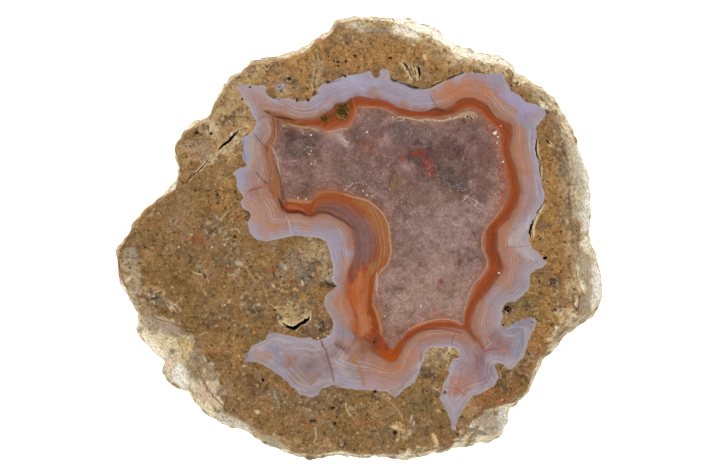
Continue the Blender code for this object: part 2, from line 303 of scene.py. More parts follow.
RUST_HAIRLINES = [
    [(445, 387), (457, 389), (466, 396)], [(322, 428), (323, 440), (318, 446)],
    [(380, 432), (384, 440), (382, 446)], [(226, 222), (236, 214), (242, 210)],
]

SOOT, UMBER, SLATE = (48, 34, 24), (92, 66, 42), (106, 98, 86)
STRAW, CREAM, CHALK = (176, 148, 104), (218, 196, 154), (232, 222, 210)
RUST, OCHRE, GREY, PLUM = (148, 96, 56), (180, 126, 64), (148, 132, 112), (114, 84, 66)

# Small marks with crisp edges, anywhere on the face: colour, radius in pixels, and places.
SMALL_MARKS = [
    (SOOT, 1.2, [(235, 192), (145, 247), (334, 61), (338, 66), (343, 75), (346, 62), (347, 43), (391, 58),
        (540, 239), (537, 359), (172, 351), (250, 87), (586, 265), (242, 99), (503, 325), (374, 342),
        (176, 277), (337, 417), (511, 389), (549, 304)]),
    (SOOT, 1.6, [(263, 380), (335, 424), (308, 100), (297, 100), (328, 82), (345, 76), (320, 330),
        (275, 310)]),
    (UMBER, 2.0, [(508, 311), (545, 258), (426, 376), (314, 94), (218, 203), (205, 276), (190, 261)]),
    (UMBER, 1.5, [(230, 373), (445, 392), (437, 396), (443, 411), (423, 391), (427, 391), (431, 401),
        (293, 82), (281, 91)]),
    # Pale grains; the mark at (225, 305) is a painted glint.
    (CREAM, 0.9, [(179, 247), (212, 247), (298, 198), (306, 199), (346, 404), (225, 305), (225, 245),
        (328, 336), (318, 338)]),
    (OCHRE, 1.2, [(325, 348), (353, 359)]), (CHALK, 1.8, [(495, 133)]),
    (CHALK, 0.9, [(498, 137), (503, 162), (367, 132), (311, 135), (421, 306), (499, 273)]),
    (CHALK, 0.6, [(497, 143), (372, 196), (367, 195), (363, 191), (311, 151), (309, 154), (311, 164),
        (501, 126), (385, 316), (393, 117)]),
    (SLATE, 1.2, [(532, 322), (503, 164), (279, 87), (214, 218)]),
]

# Strands in the agate, dark or pale seams at its wall, and painted shade and dirt in the open cracks there:
# colour, width in pixels, strength, course.
STRANDS = [
    ((158, 112, 84), 9, 0.8, [(270, 122), (275, 136), (268, 150), (270, 166), (274, 180)]),
    ((156, 102, 62), 8, 0.8, [(275, 178), (276, 188), (277, 197)]),
    ((110, 66, 46), 1.4, 0.8, [(272, 117), (274, 124), (275, 132), (274, 139), (271, 143)]),
    ((112, 72, 52), 1.2, 0.7, [(278, 120), (278, 128), (277, 138)]),
    ((190, 142, 112), 1.2, 0.7, [(276, 128), (276, 136), (273, 143)]),
    ((92, 50, 28), 2.4, 0.9, [(272, 115), (278, 117), (284, 118), (289, 119), (295, 121)]),
    ((82, 62, 44), 2.5, 0.7, [(263, 110), (267, 112), (271, 114)]),
    ((112, 72, 52), 3.0, 0.8, [(264, 146), (267, 148), (267, 153)]),
    ((118, 84, 74), 1.3, 0.6, [(258, 120), (262, 117), (268, 117), (271, 122), (273, 130), (271, 138),
        (267, 144)]),
    ((186, 166, 152), 1.3, 0.6, [(259, 124), (264, 121), (268, 124), (270, 130), (269, 137), (265, 142)]),
    ((142, 132, 122), 1.3, 0.6, [(261, 126), (265, 124), (267, 128), (267, 135), (264, 140)]),
    ((134, 104, 94), 1.2, 0.6, [(257, 128), (261, 131), (262, 137), (261, 141)]),
    ((138, 92, 66), 1.5, 0.8, [(266, 152), (268, 160), (270, 165), (271, 172), (269, 179)]),
    ((148, 110, 88), 1.2, 0.6, [(263, 152), (262, 160), (264, 168), (267, 176)]),
    ((96, 70, 56), 1.3, 0.8, [(276, 168), (278, 172), (280, 176)]),
    ((92, 70, 60), 1.2, 0.8, [(255, 135), (259, 140), (263, 145)]),
    ((92, 66, 52), 1.3, 0.8, [(256, 172), (260, 177), (264, 181), (267, 184)]),
    ((120, 76, 58), 2.5, 0.7, [(264, 181), (268, 184)]),
    ((166, 104, 84), 5, 0.7, [(250, 192), (254, 188), (261, 187), (268, 185)]),
    ((172, 116, 100), 5, 0.6, [(251, 192), (252, 198)]),
    ((124, 70, 50), 1.3, 0.7, [(247, 193), (251, 190), (256, 189), (261, 187)]),
    ((194, 158, 132), 1.0, 0.5, [(256, 197), (264, 197), (271, 200), (276, 206), (279, 213)]),
    ((148, 108, 82), 1.2, 0.6, [(272, 197), (276, 203), (279, 210), (280, 218)]),
    ((80, 36, 20), 3.5, 0.85, [(278, 198), (281, 203), (283, 208), (287, 211)]),
    ((180, 126, 88), 3.0, 0.85, [(286, 200), (296, 201), (306, 202), (312, 202)]),
    ((142, 70, 38), 2.0, 0.85, [(286, 203), (294, 204), (302, 206), (307, 210)]),
    ((180, 104, 74), 2.4, 0.7, [(287, 207), (296, 208), (303, 210)]),
    ((92, 36, 20), 4.0, 0.95, [(285, 210), (291, 212), (299, 212), (304, 214), (307, 216)]),
    ((152, 78, 44), 5.0, 0.8, [(308, 212), (311, 206), (315, 200)]),
    ((136, 68, 36), 1.4, 0.8, [(309, 214), (311, 208), (314, 202), (318, 198)]),
    ((98, 60, 52), 3.0, 0.9, [(309, 217), (314, 214), (320, 212), (328, 213), (336, 217), (344, 221),
        (350, 226), (356, 230)]),
    ((122, 80, 66), 4.0, 0.7, [(318, 209), (328, 208), (338, 211), (346, 216)]),
    ((116, 88, 84), 3.0, 0.7, [(355, 230), (358, 240), (358, 250), (357, 258)]),
    ((160, 90, 58), 1.4, 0.7, [(313, 211), (317, 205), (322, 202), (330, 201)]),
    ((176, 112, 74), 2.2, 0.8, [(314, 200), (319, 194), (326, 192), (335, 192), (344, 194)]),
    ((148, 80, 42), 1.4, 0.6, [(319, 199), (325, 196), (334, 196), (346, 198), (354, 201)]),
    ((158, 110, 62), 5.0, 0.6, [(352, 201), (362, 202), (369, 206)]),
    ((170, 112, 66), 3.0, 0.5, [(380, 216), (385, 226), (387, 238), (388, 248), (386, 258)]),
    ((160, 84, 46), 4.0, 0.7, [(386, 254), (384, 262), (378, 268)]),
    ((202, 160, 124), 1.3, 0.9, [(344, 194), (353, 197), (362, 199), (370, 202), (377, 208), (383, 214),
        (387, 222), (389, 230), (390, 240), (391, 250), (390, 258), (387, 265), (382, 270), (378, 275)]),
    ((194, 158, 140), 2.0, 0.85, [(378, 275), (377, 284), (376, 292)]),
    ((178, 130, 100), 2.5, 0.7, [(374, 294), (374, 300)]),
    ((132, 96, 84), 6.0, 0.6, [(354, 258), (355, 270), (354, 280)]),
    ((182, 112, 82), 2.5, 0.6, [(361, 265), (361, 276), (360, 290)]),
    ((172, 100, 70), 2.5, 0.5, [(366, 268), (367, 280), (367, 292)]),
    ((176, 92, 52), 8.0, 0.6, [(351, 290), (356, 296), (362, 296)]),
    ((168, 116, 92), 9.0, 0.6, [(344, 270), (345, 284), (344, 298)]),
    ((166, 120, 100), 8.0, 0.5, [(350, 306), (351, 320), (349, 334)]),
    ((142, 70, 36), 5.0, 0.85, [(377, 270), (373, 277), (371, 288), (370, 300), (372, 312), (375, 324)]),
    ((170, 122, 88), 8.0, 0.75, [(360, 310), (363, 324), (362, 336)]),
    ((190, 132, 90), 1.2, 0.5, [(361, 304), (365, 312), (367, 322), (368, 332)]),
    ((184, 128, 88), 1.4, 0.5, [(357, 308), (361, 318), (363, 330)]),
    ((184, 124, 66), 3.0, 0.9, [(372, 303), (376, 311), (379, 320), (381, 330), (381, 336)]),
    ((136, 92, 76), 2.2, 0.5, [(350, 304), (355, 311), (357, 320), (357, 330), (355, 340), (350, 348)]),
    ((180, 122, 94), 7.0, 0.7, [(345, 298), (349, 310), (351, 320)]),
    ((140, 98, 72), 13.0, 0.85, [(362, 344), (368, 350)]),
    ((108, 62, 48), 6.0, 0.8, [(374, 337), (376, 343)]),
    ((132, 62, 44), 6.0, 0.8, [(384, 342), (388, 350)]),
    ((170, 80, 30), 5.0, 0.9, [(379, 351), (387, 357), (396, 357)]),
    ((150, 72, 38), 3.0, 0.8, [(393, 352), (398, 345), (404, 339), (412, 334)]),
    ((110, 70, 40), 2.0, 0.9, [(321, 340), (323, 346), (326, 350)]),
    ((104, 72, 72), 1.4, 0.9, [(326, 351), (328, 358), (330, 365), (332, 372), (334, 382)]),
    ((178, 116, 50), 3.0, 0.85, [(351, 356), (356, 361)]),
    ((172, 122, 74), 2.6, 0.7, [(356, 362), (361, 370), (363, 378), (364, 384)]),
    ((108, 74, 56), 1.6, 0.8, [(335, 344), (341, 347), (346, 351)]),
    ((150, 112, 88), 2.0, 0.6, [(350, 350), (358, 355), (364, 362)]),
    ((178, 166, 168), 1.0, 0.6, [(286, 343), (298, 341), (310, 343), (320, 350)]),
    ((134, 116, 122), 1.0, 0.5, [(286, 345), (300, 343), (312, 346), (320, 353)]),
    ((176, 160, 160), 1.0, 0.5, [(288, 348), (300, 347), (312, 350), (320, 357)]),
    ((136, 114, 116), 1.0, 0.5, [(290, 351), (302, 350), (314, 354)]),
    ((172, 156, 154), 1.0, 0.4, [(292, 354), (303, 354), (316, 359)]),
    ((136, 114, 114), 1.0, 0.4, [(294, 358), (304, 357), (316, 362)]),
    ((182, 170, 172), 1.2, 0.6, [(283, 372), (290, 380), (298, 388), (306, 391)]),
    ((182, 168, 166), 1.2, 0.6, [(286, 369), (292, 377), (300, 384), (310, 386), (320, 382)]),
    ((140, 130, 146), 1.2, 0.5, [(300, 391), (308, 393), (318, 389), (326, 382)]),
    ((180, 172, 178), 1.2, 0.6, [(268, 340), (276, 338), (284, 340), (292, 342)]),
    ((198, 186, 184), 1.2, 0.6, [(244, 357), (252, 350), (262, 346), (270, 342)]),
    ((156, 108, 86), 3.0, 0.6, [(289, 357), (290, 363), (286, 367)]),
    ((186, 174, 176), 1.0, 0.5, [(266, 97), (271, 98), (276, 102), (284, 105)]),
    ((188, 178, 178), 1.0, 0.55, [(288, 104), (296, 108), (305, 109), (315, 106), (321, 102)]),
    ((188, 176, 174), 1.0, 0.5, [(288, 109), (297, 112), (307, 113), (317, 110)]),
    ((184, 170, 168), 1.0, 0.45, [(288, 113), (298, 116), (309, 116), (318, 113)]),
    ((146, 128, 126), 1.0, 0.5, [(288, 106), (297, 110), (306, 111), (316, 108)]),
    ((146, 126, 124), 1.0, 0.4, [(288, 111), (298, 114), (308, 115)]),
    ((152, 124, 118), 1.0, 0.5, [(404, 106), (414, 108), (422, 109), (430, 107)]),
    ((190, 160, 146), 1.0, 0.5, [(400, 106), (412, 110), (422, 111), (431, 109)]),
    ((84, 50, 40), 3.0, 0.8, [(430, 110), (438, 109), (445, 112)]),
    ((124, 66, 42), 1.2, 0.8, [(396, 109), (404, 111), (414, 112), (424, 112), (432, 111)]),
    ((110, 84, 72), 1.4, 0.6, [(430, 95), (434, 102), (438, 108)]),
    ((188, 124, 84), 2.2, 0.6, [(438, 95), (448, 90), (458, 86), (470, 84), (480, 85)]),
    ((184, 116, 78), 1.6, 0.6, [(442, 100), (452, 95), (462, 92), (474, 91)]),
    ((126, 56, 34), 1.5, 0.7, [(457, 103), (464, 99), (474, 99), (482, 103), (488, 108), (493, 115),
        (500, 121)]),
    ((172, 86, 44), 1.3, 0.7, [(464, 107), (474, 107), (482, 110), (488, 117), (494, 124), (500, 128)]),
    ((146, 110, 96), 1.0, 0.7, [(491, 103), (495, 110), (500, 116)]),
    ((190, 150, 132), 1.0, 0.5, [(489, 105), (493, 112), (498, 117)]),
    ((166, 78, 40), 1.5, 0.5, [(352, 105), (358, 102), (366, 102), (374, 105), (383, 106), (391, 109)]),
    ((150, 84, 52), 2.0, 0.6, [(349, 104), (351, 112), (350, 119), (344, 124), (336, 124)]),
    ((180, 106, 66), 2.0, 0.7, [(353, 100), (356, 112), (354, 120), (348, 126), (338, 128)]),
    ((70, 54, 30), 15.0, 0.95, [(341, 108), (342, 113)]),
    ((76, 56, 30), 11.0, 0.9, [(323, 117), (327, 119)]),
    ((118, 70, 48), 4.0, 0.8, [(332, 113), (332, 121)]),
    ((206, 172, 140), 1.4, 0.85, [(398, 117), (408, 118), (418, 120), (428, 119)]),
    ((210, 178, 146), 1.8, 0.85, [(428, 120), (434, 120), (441, 121), (450, 119), (458, 117)]),
    ((150, 96, 66), 1.2, 0.8, [(404, 116), (416, 117), (428, 117), (440, 118), (452, 116), (460, 112)]),
    ((192, 160, 122), 4.0, 0.8, [(458, 116), (464, 114), (472, 113), (477, 116)]),
    ((100, 66, 36), 4.0, 0.85, [(463, 118), (465, 125)]),
    ((196, 156, 116), 1.3, 0.8, [(289, 124), (296, 126), (303, 127), (310, 128), (318, 131)]),
    ((196, 156, 136), 1.6, 0.8, [(326, 132), (334, 131), (341, 129), (348, 129)]),
    ((172, 148, 142), 5.0, 0.6, [(328, 134), (338, 134), (344, 137)]),
    ((190, 140, 108), 1.2, 0.7, [(358, 107), (368, 107), (378, 108), (386, 110), (392, 113), (398, 117)]),
    ((150, 138, 160), 1.6, 0.7, [(534, 124), (532, 132), (532, 142), (533, 152), (534, 160)]),
    ((190, 182, 186), 1.2, 0.6, [(530, 130), (529, 140), (530, 152)]),
    ((186, 176, 178), 1.0, 0.6, [(535, 140), (534, 150), (536, 160), (537, 168)]),
    ((150, 122, 112), 1.0, 0.6, [(526, 176), (527, 184), (527, 192)]),
    ((152, 124, 112), 1.0, 0.6, [(523, 176), (524, 185), (524, 193)]),
    ((152, 136, 152), 3.0, 0.7, [(538, 180), (540, 190), (541, 198)]),
    ((188, 176, 170), 1.0, 0.6, [(535, 176), (536, 186), (537, 196)]),
    ((152, 104, 84), 2.0, 0.6, [(521, 182), (522, 190), (521, 197)]),
    ((172, 120, 96), 2.0, 0.6, [(515, 208), (512, 216), (510, 224), (506, 230)]),
    ((184, 180, 192), 4.0, 0.7, [(530, 214), (528, 222), (527, 230)]),
    ((150, 114, 102), 1.2, 0.7, [(502, 248), (508, 247), (518, 247), (526, 246), (532, 245)]),
    ((190, 118, 96), 3.5, 0.7, [(509, 249), (510, 256)]),
    ((112, 58, 34), 4.0, 0.6, [(497, 252), (499, 260), (500, 266)]),
    ((130, 64, 40), 1.2, 0.5, [(489, 240), (490, 250), (492, 260), (492, 268)]),
    ((192, 150, 132), 1.3, 0.8, [(484, 232), (482, 242), (484, 252), (487, 260), (486, 268), (481, 276),
        (474, 284), (469, 294), (466, 304), (463, 314)]),
    ((184, 152, 122), 1.2, 0.7, [(502, 208), (496, 217), (490, 223), (486, 230)]),
    ((150, 78, 48), 1.3, 0.6, [(513, 176), (515, 186), (513, 196), (508, 206), (504, 214)]),
    ((176, 122, 98), 1.2, 0.5, [(480, 300), (476, 308), (474, 318)]),
    ((124, 58, 34), 1.5, 0.7, [(404, 341), (412, 334), (420, 330), (432, 329), (444, 329), (454, 331),
        (462, 333)]),
    ((178, 112, 72), 1.5, 0.8, [(410, 331), (418, 327), (428, 323), (440, 322), (450, 322), (460, 325)]),
    ((202, 152, 122), 1.3, 0.85, [(408, 330), (418, 325), (430, 321), (442, 319), (452, 320), (461, 324)]),
    ((146, 84, 60), 5.0, 0.8, [(476, 338), (482, 346), (484, 351)]),
    ((158, 92, 80), 2.2, 0.8, [(485, 351), (492, 349), (500, 349)]),
    ((196, 114, 104), 3.0, 0.8, [(500, 350), (506, 351)]),
    ((164, 150, 178), 1.8, 0.75, [(424, 355), (428, 349), (436, 345), (446, 345), (454, 343), (460, 346),
        (464, 353), (464, 360)]),
    ((196, 180, 174), 1.0, 0.7, [(426, 351), (432, 347), (442, 347), (450, 346), (458, 349), (461, 356)]),
    ((110, 86, 80), 1.1, 0.7, [(456, 331), (453, 338), (451, 345)]),
    ((176, 166, 176), 1.2, 0.7, [(500, 362), (494, 361), (490, 365), (489, 372), (491, 378), (495, 382)]),
    ((142, 132, 156), 1.2, 0.7, [(498, 364), (493, 365), (492, 371), (494, 377), (496, 380)]),
    ((176, 164, 172), 1.2, 0.6, [(506, 358), (494, 357), (487, 361), (485, 369), (487, 377), (491, 385)]),
    ((146, 134, 158), 1.2, 0.6, [(503, 360), (494, 359), (488, 364), (487, 372), (490, 381)]),
    ((150, 120, 130), 1.0, 0.5, [(480, 356), (478, 366), (480, 378)]),
    ((172, 168, 168), 1.2, 0.7, [(525, 328), (526, 340), (524, 350), (520, 358), (514, 365)]),
    ((132, 116, 108), 1.2, 0.6, [(523, 330), (523, 340), (521, 350), (517, 358)]),
    ((134, 142, 160), 3.0, 0.8, [(508, 328), (515, 324), (524, 322)]),
    ((184, 176, 180), 1.2, 0.6, [(506, 330), (514, 327), (524, 327)]),
    ((188, 176, 176), 1.2, 0.6, [(452, 362), (452, 370), (449, 378), (445, 386)]),
    ((176, 108, 84), 1.5, 0.5, [(452, 382), (458, 388), (463, 396)]),
    ((186, 176, 186), 1.5, 0.6, [(420, 362), (419, 370), (413, 378), (406, 385)]),
    ((204, 172, 128), 1.3, 0.8, [(409, 69), (411, 74), (412, 80)]),
    ((204, 172, 128), 1.2, 0.8, [(416, 68), (417, 73), (418, 80)]),
    ((206, 176, 132), 1.2, 0.8, [(544, 206), (541, 212), (537, 220), (534, 228), (533, 236)]),
    ((202, 166, 120), 1.2, 0.7, [(538, 141), (538, 150), (540, 159)]),
    # Painted shade and dirt: dark lines along the open cracks at the agate's wall.
    ((54, 40, 26), 1.6, 0.8, [(407, 84), (413, 87), (420, 89), (427, 88)]),
    ((60, 42, 28), 1.3, 0.8, [(430, 88), (437, 84), (443, 81)]),
    ((60, 42, 28), 1.2, 0.8, [(447, 80), (455, 76), (464, 73)]),
    ((92, 66, 46), 1.4, 0.6, [(326, 84), (333, 82), (340, 80)]),
    ((88, 62, 44), 2.0, 0.6, [(372, 74), (376, 77), (380, 74)]),
    ((80, 58, 44), 1.4, 0.6, [(392, 79), (398, 82), (402, 83)]),
    ((70, 54, 42), 1.2, 0.6, [(505, 78), (508, 84), (511, 90)]),
    ((86, 66, 46), 1.4, 0.6, [(243, 140), (243, 150), (245, 160)]),
    ((96, 72, 50), 1.2, 0.5, [(325, 288), (332, 286), (336, 286)]),
    ((80, 60, 42), 1.4, 0.7, [(420, 369), (422, 374), (428, 376), (434, 378), (440, 381)]),
    ((98, 74, 52), 1.2, 0.6, [(421, 352), (421, 362)]),
]

# Strokes in the jasper: edges of clasts, grit and streaks, a few painted glints, and painted shade in
# cracks: colour, width in pixels, strength, courses.
BISCUIT, GOLD, BRICK = (214, 178, 130), (196, 148, 76), (126, 80, 52)
MOSS, ASH, BARK = (118, 114, 84), (152, 146, 132), (106, 74, 44)
JASPER_STROKES = [
    (ASH, 6, 0.7, [[(132, 250), (134, 253)], [(281, 264), (287, 270)], [(278, 86), (279, 90)], [(435, 55),
        (438, 59)], [(404, 433), (407, 438)]]),
    (ASH, 3.5, 0.7, [[(240, 272), (233, 273)], [(195, 266), (202, 267)], [(530, 354), (534, 357)],
        [(567, 274), (569, 276)], [(250, 304), (254, 308)], [(564, 135), (567, 148)], [(566, 160),
        (570, 172)], [(574, 182), (575, 200)], [(350, 26), (372, 30), (392, 30)]]),
    ((190, 182, 154), 6, 0.75, [[(235, 262), (243, 265)]]),
    (MOSS, 4, 0.7, [[(222, 262), (230, 262)], [(214, 258), (222, 258)], [(532, 304), (535, 305)]]),
    ((152, 128, 122), 4, 0.6, [[(235, 250), (239, 254)], [(297, 261), (299, 264)], [(275, 66), (278, 69)],
        [(558, 221), (561, 223)], [(408, 42), (412, 45)]]),
    # Pale cream grit and seams; the strokes at (204, 291) and (230, 300) are painted glints, and the one at
    # (304, 315) a painted highlight on the open crack's upper lip.
    (CREAM, 1.5, 0.6, [[(229, 275), (237, 276)], [(222, 240), (229, 239)], [(193, 272), (198, 274),
        (203, 275)], [(204, 291), (206, 295)], [(230, 300), (228, 303)], [(172, 306), (176, 312)],
        [(176, 305), (181, 311)], [(169, 307), (172, 312)], [(283, 321), (288, 324), (293, 325),
        (298, 322), (303, 319)], [(304, 315), (308, 317)], [(345, 406), (347, 410), (350, 416)],
        [(401, 63), (405, 68), (409, 74)], [(412, 67), (415, 73), (417, 80)], [(274, 394), (276, 398)],
        [(250, 81), (250, 84)], [(291, 58), (293, 63)], [(295, 58), (296, 64)], [(315, 428), (316, 436),
        (314, 442)], [(433, 386), (436, 390), (440, 388)], [(230, 230), (237, 229), (240, 233)],
        [(526, 374), (528, 376)], [(500, 372), (501, 378)], [(216, 216), (219, 219)]]),
    (CREAM, 2.5, 0.8, [[(538, 215), (534, 226), (534, 236)], [(542, 208), (540, 212)], [(272, 284),
        (275, 288)], [(257, 304), (260, 305)], [(148, 293), (150, 296)], [(153, 295), (155, 298)],
        [(172, 286), (173, 288)], [(399, 438), (396, 441)], [(341, 445), (342, 446)], [(205, 368),
        (204, 374)], [(214, 391), (216, 395)], [(413, 44), (415, 46)], [(557, 339), (553, 343)],
        [(285, 266), (286, 270)], [(302, 280), (303, 286)]]),
    ((236, 204, 156), 4.5, 0.85, [[(255, 411), (260, 413)], [(423, 55), (426, 59)], [(546, 339),
        (555, 341)], [(433, 434), (438, 446)], [(391, 427), (398, 427)]]),
    # White grains; the two strokes at (414, 422) and (412, 416) are painted glints.
    (CHALK, 1.3, 0.85, [[(154, 302), (154, 303)], [(278, 317), (278, 318)], [(243, 366), (245, 366)],
        [(414, 422), (414, 424)], [(412, 416), (411, 420)], [(453, 444), (457, 441), (461, 438)],
        [(506, 312), (507, 313)], [(557, 309), (558, 310)], [(191, 234), (192, 235)]]),
    (BISCUIT, 1.4, 0.55, [[(313, 55), (314, 60), (316, 63), (314, 68), (314, 73), (313, 78), (312, 84),
        (313, 89)], [(317, 54), (319, 60), (322, 65), (320, 70), (318, 76), (316, 82), (318, 88)],
        [(246, 266), (250, 275)], [(252, 276), (254, 279)], [(266, 292), (267, 296)], [(268, 300),
        (269, 304)], [(271, 304), (273, 306)], [(205, 270), (209, 283)], [(196, 336), (202, 334),
        (208, 332)], [(221, 344), (225, 341)], [(385, 398), (392, 404), (400, 413), (403, 420)],
        [(230, 210), (226, 214), (221, 219)], [(538, 142), (539, 156)], [(542, 165), (542, 177)],
        [(231, 243), (234, 247)], [(188, 182), (194, 177)], [(285, 88), (287, 92), (290, 94)], [(263, 262),
        (265, 266)]]),
    (BISCUIT, 2.5, 0.75, [[(181, 297), (181, 300)], [(383, 394), (385, 396)], [(388, 397), (391, 400)],
        [(563, 316), (564, 322)], [(539, 345), (541, 346)], [(409, 48), (410, 50)], [(436, 409),
        (441, 412)], [(566, 219), (569, 224)], [(243, 373), (244, 375)], [(272, 407), (273, 409)]]),
    (GOLD, 2, 0.7, [[(146, 290), (150, 286), (155, 288), (162, 289)], [(176, 303), (180, 301)],
        [(241, 278), (242, 284)], [(232, 368), (236, 366)], [(228, 371), (229, 374)], [(245, 81),
        (262, 82)], [(223, 380), (225, 383)], [(557, 184), (560, 186)], [(563, 180), (566, 182)],
        [(529, 293), (536, 293)], [(570, 325), (573, 324)], [(278, 282), (284, 285), (290, 284)],
        [(280, 291), (290, 292)], [(397, 434), (398, 436)]]),
    ((206, 132, 56), 4, 0.75, [[(317, 266), (318, 269)], [(250, 126), (250, 132)], [(301, 296),
        (306, 298)], [(253, 331), (255, 334)]]),
    (RUST, 5, 0.55, [[(276, 384), (284, 389)], [(350, 420), (362, 424)], [(375, 410), (383, 413)],
        [(193, 231), (198, 236)], [(206, 240), (207, 244)], [(213, 338), (214, 342)], [(304, 427),
        (309, 427)], [(455, 69), (459, 71)], [(530, 364), (534, 368)], [(268, 403), (272, 402)]]),
    (BRICK, 2.2, 0.75, [[(190, 240), (196, 238)], [(238, 371), (240, 375)], [(218, 106), (222, 105),
        (225, 103)], [(332, 441), (337, 443)], [(224, 268), (230, 270), (235, 269)], [(214, 280),
        (220, 283), (223, 290)], [(212, 331), (220, 331), (231, 332)], [(443, 393), (447, 393)],
        [(436, 397), (438, 396)], [(227, 187), (229, 188)], [(312, 333), (314, 339)], [(240, 130),
        (246, 128)], [(571, 258), (574, 254)], [(225, 417), (235, 419), (243, 424)]]),
    (BRICK, 6, 0.6, [[(372, 72), (379, 72)], [(497, 390), (503, 398)], [(323, 73), (329, 77)], [(553, 202),
        (557, 206)], [(440, 434), (450, 440)], [(515, 380), (520, 384)]]),
    (BARK, 1.3, 0.7, [[(126, 256), (132, 258), (140, 257), (144, 254)], [(190, 140), (200, 139),
        (211, 139)], [(212, 138), (215, 143), (217, 147)], [(193, 143), (196, 141), (199, 143), (197, 147),
        (193, 146)], [(240, 117), (249, 117)], [(237, 202), (232, 207)], [(317, 66), (316, 70), (315, 76)],
        [(150, 279), (160, 270)], [(314, 290), (316, 300), (316, 312), (318, 318)], [(300, 326),
        (305, 330), (308, 333)], [(222, 352), (226, 357), (232, 356)], [(213, 360), (220, 360),
        (228, 359)], [(267, 71), (267, 80)], [(421, 73), (424, 70), (428, 71), (431, 75)], [(281, 294),
        (286, 296), (291, 296)], [(249, 336), (255, 336), (260, 335)], [(533, 274), (537, 272), (541, 275),
        (538, 278)], [(573, 220), (577, 221)], [(220, 385), (220, 392)], [(188, 262), (192, 264)],
        [(272, 97), (278, 99), (283, 97)]]),
    (BARK, 4, 0.6, [[(375, 22), (378, 26)], [(250, 385), (253, 396)], [(292, 410), (292, 416)],
        [(260, 272), (262, 277)], [(336, 58), (339, 59)], [(424, 403), (427, 404)], [(510, 306),
        (514, 309)], [(523, 303), (527, 304)], [(284, 82), (290, 84)], [(218, 242), (220, 246)],
        [(345, 404), (352, 403)]]),
    (SOOT, 1.4, 0.85, [[(252, 312), (256, 312), (262, 310), (265, 308)], [(267, 72), (269, 70), (271, 67),
        (274, 64)], [(276, 320), (275.5, 317), (278, 314), (280.5, 317), (278, 320)], [(219, 193),
        (216.5, 194), (216.5, 197), (219, 198), (220.5, 196)], [(152, 241), (156, 241)], [(152, 245),
        (157, 245)], [(312, 264), (318, 262), (323, 266)], [(382, 445), (384, 440)], [(293, 80),
        (294, 83)], [(371, 431), (376, 431)], [(386, 430), (391, 428)], [(338, 443), (340, 447),
        (344, 446), (345, 443)], [(561, 143), (563, 144)], [(563, 153), (565, 154)], [(566, 159),
        (567, 160)], [(569, 194), (569, 206)], [(301, 278), (304, 281)], [(308, 275), (312, 278)],
        [(305, 284), (306, 288)], [(283, 282), (284, 284)], [(287, 285), (288, 287)], [(291, 281),
        (292, 283)], [(258, 328), (262, 328)], [(281, 398), (281, 401)], [(254, 363), (256, 365)],
        [(402, 407), (404, 408)], [(478, 405), (479, 406)], [(462, 66), (462, 71)], [(200, 134),
        (203, 136)]]),
    # Dark grit and seams; the strokes from (400, 83) to (464, 72) lie along the open cracks at the agate's
    # wall and are painted shade and dirt.
    (SOOT, 2.4, 0.85, [[(194, 134), (196, 132), (199, 133)], [(209, 134), (212, 133), (213, 135)],
        [(288, 77), (290, 80)], [(390, 78), (394, 81), (398, 80)], [(400, 83), (405, 84), (411, 87),
        (417, 89)], [(430, 87), (434, 85)], [(447, 79), (455, 76)], [(460, 73), (464, 72)], [(354, 56),
        (357, 57)], [(272, 266), (273, 268)], [(273, 271), (275, 278)], [(308, 270), (312, 271)],
        [(324, 280), (328, 284), (333, 286), (337, 286)], [(322, 320), (324, 328)], [(150, 300),
        (155, 298), (160, 297)], [(161, 292), (159, 295)], [(174, 231), (175, 234)], [(144, 270),
        (144, 272)], [(188, 293), (189, 295)], [(241, 361), (242, 363)], [(246, 375), (248, 375)],
        [(257, 367), (258, 369)], [(261, 374), (262, 376)], [(250, 306), (253, 305)], [(236, 336),
        (239, 335)], [(267, 329), (268, 331)], [(540, 292), (543, 294)], [(528, 353), (530, 355)],
        [(524, 360), (526, 361)], [(520, 366), (522, 366)], [(520, 375), (523, 377)], [(572, 211),
        (576, 213)], [(545, 110), (547, 112), (548, 115)], [(546, 345), (549, 346)], [(455, 433),
        (457, 435)], [(442, 410), (444, 412)], [(128, 236), (129, 238)], [(560, 310), (561, 312)]]),
    ((78, 58, 38), 4, 0.8, [[(234, 114), (230, 117), (226, 120), (222, 125)], [(244, 211), (248, 213),
        (250, 216)], [(234, 234), (236, 237)], [(240, 330), (246, 328)], [(309, 421), (316, 421)],
        [(328, 407), (332, 409)], [(394, 431), (395, 435)], [(320, 329), (326, 332)], [(373, 391),
        (377, 391)], [(371, 394), (374, 397)]]),
    ((66, 54, 54), 7, 0.85, [[(506, 307), (509, 311)]]),
    ((84, 60, 54), 1.8, 0.75, [[(546, 277), (550, 274), (556, 275), (560, 280), (559, 285), (554, 287),
        (548, 285)], [(550, 279), (554, 280), (552, 283)], [(539, 283), (546, 286)]]),
]
for colour, width, strength, courses in JASPER_STROKES:
    STRANDS += [(colour, width, strength, course) for course in courses]

# Strands that lie over the jasper's strokes.
MORE_STRANDS = [
    ((206, 188, 178), 1.2, 0.6, [(272, 148), (277, 158), (278, 166), (280, 174)]),
    ((92, 60, 46), 1.4, 0.75, [(277, 166), (280, 178), (282, 190), (286, 202), (287, 211)]),
    ((124, 104, 98), 1.3, 0.6, [(284, 210), (287, 220), (286, 231)]),
    ((170, 182, 192), 1.5, 0.7, [(286, 216), (290, 226), (292, 236)]),
]
STRANDS += MORE_STRANDS

# Scratches and bright cracks in the quartz.
SCRATCHES = [
    [(465, 196), (471, 198), (477, 202), (483, 206)], [(462, 202), (468, 195)], [(343, 138), (347, 143)],
    [(345, 190), (350, 186), (353, 183)], [(377, 272), (376, 284), (378, 298)], [(477, 200), (475, 206)],
    [(301, 128), (303, 134)],
]
SOFT_SHARE = 0.35
MARK_SIDES = 9
# Where the rings round a mark lie, in pixels from its edge.
MARK_RINGS_PX = (-0.25, 0.3)
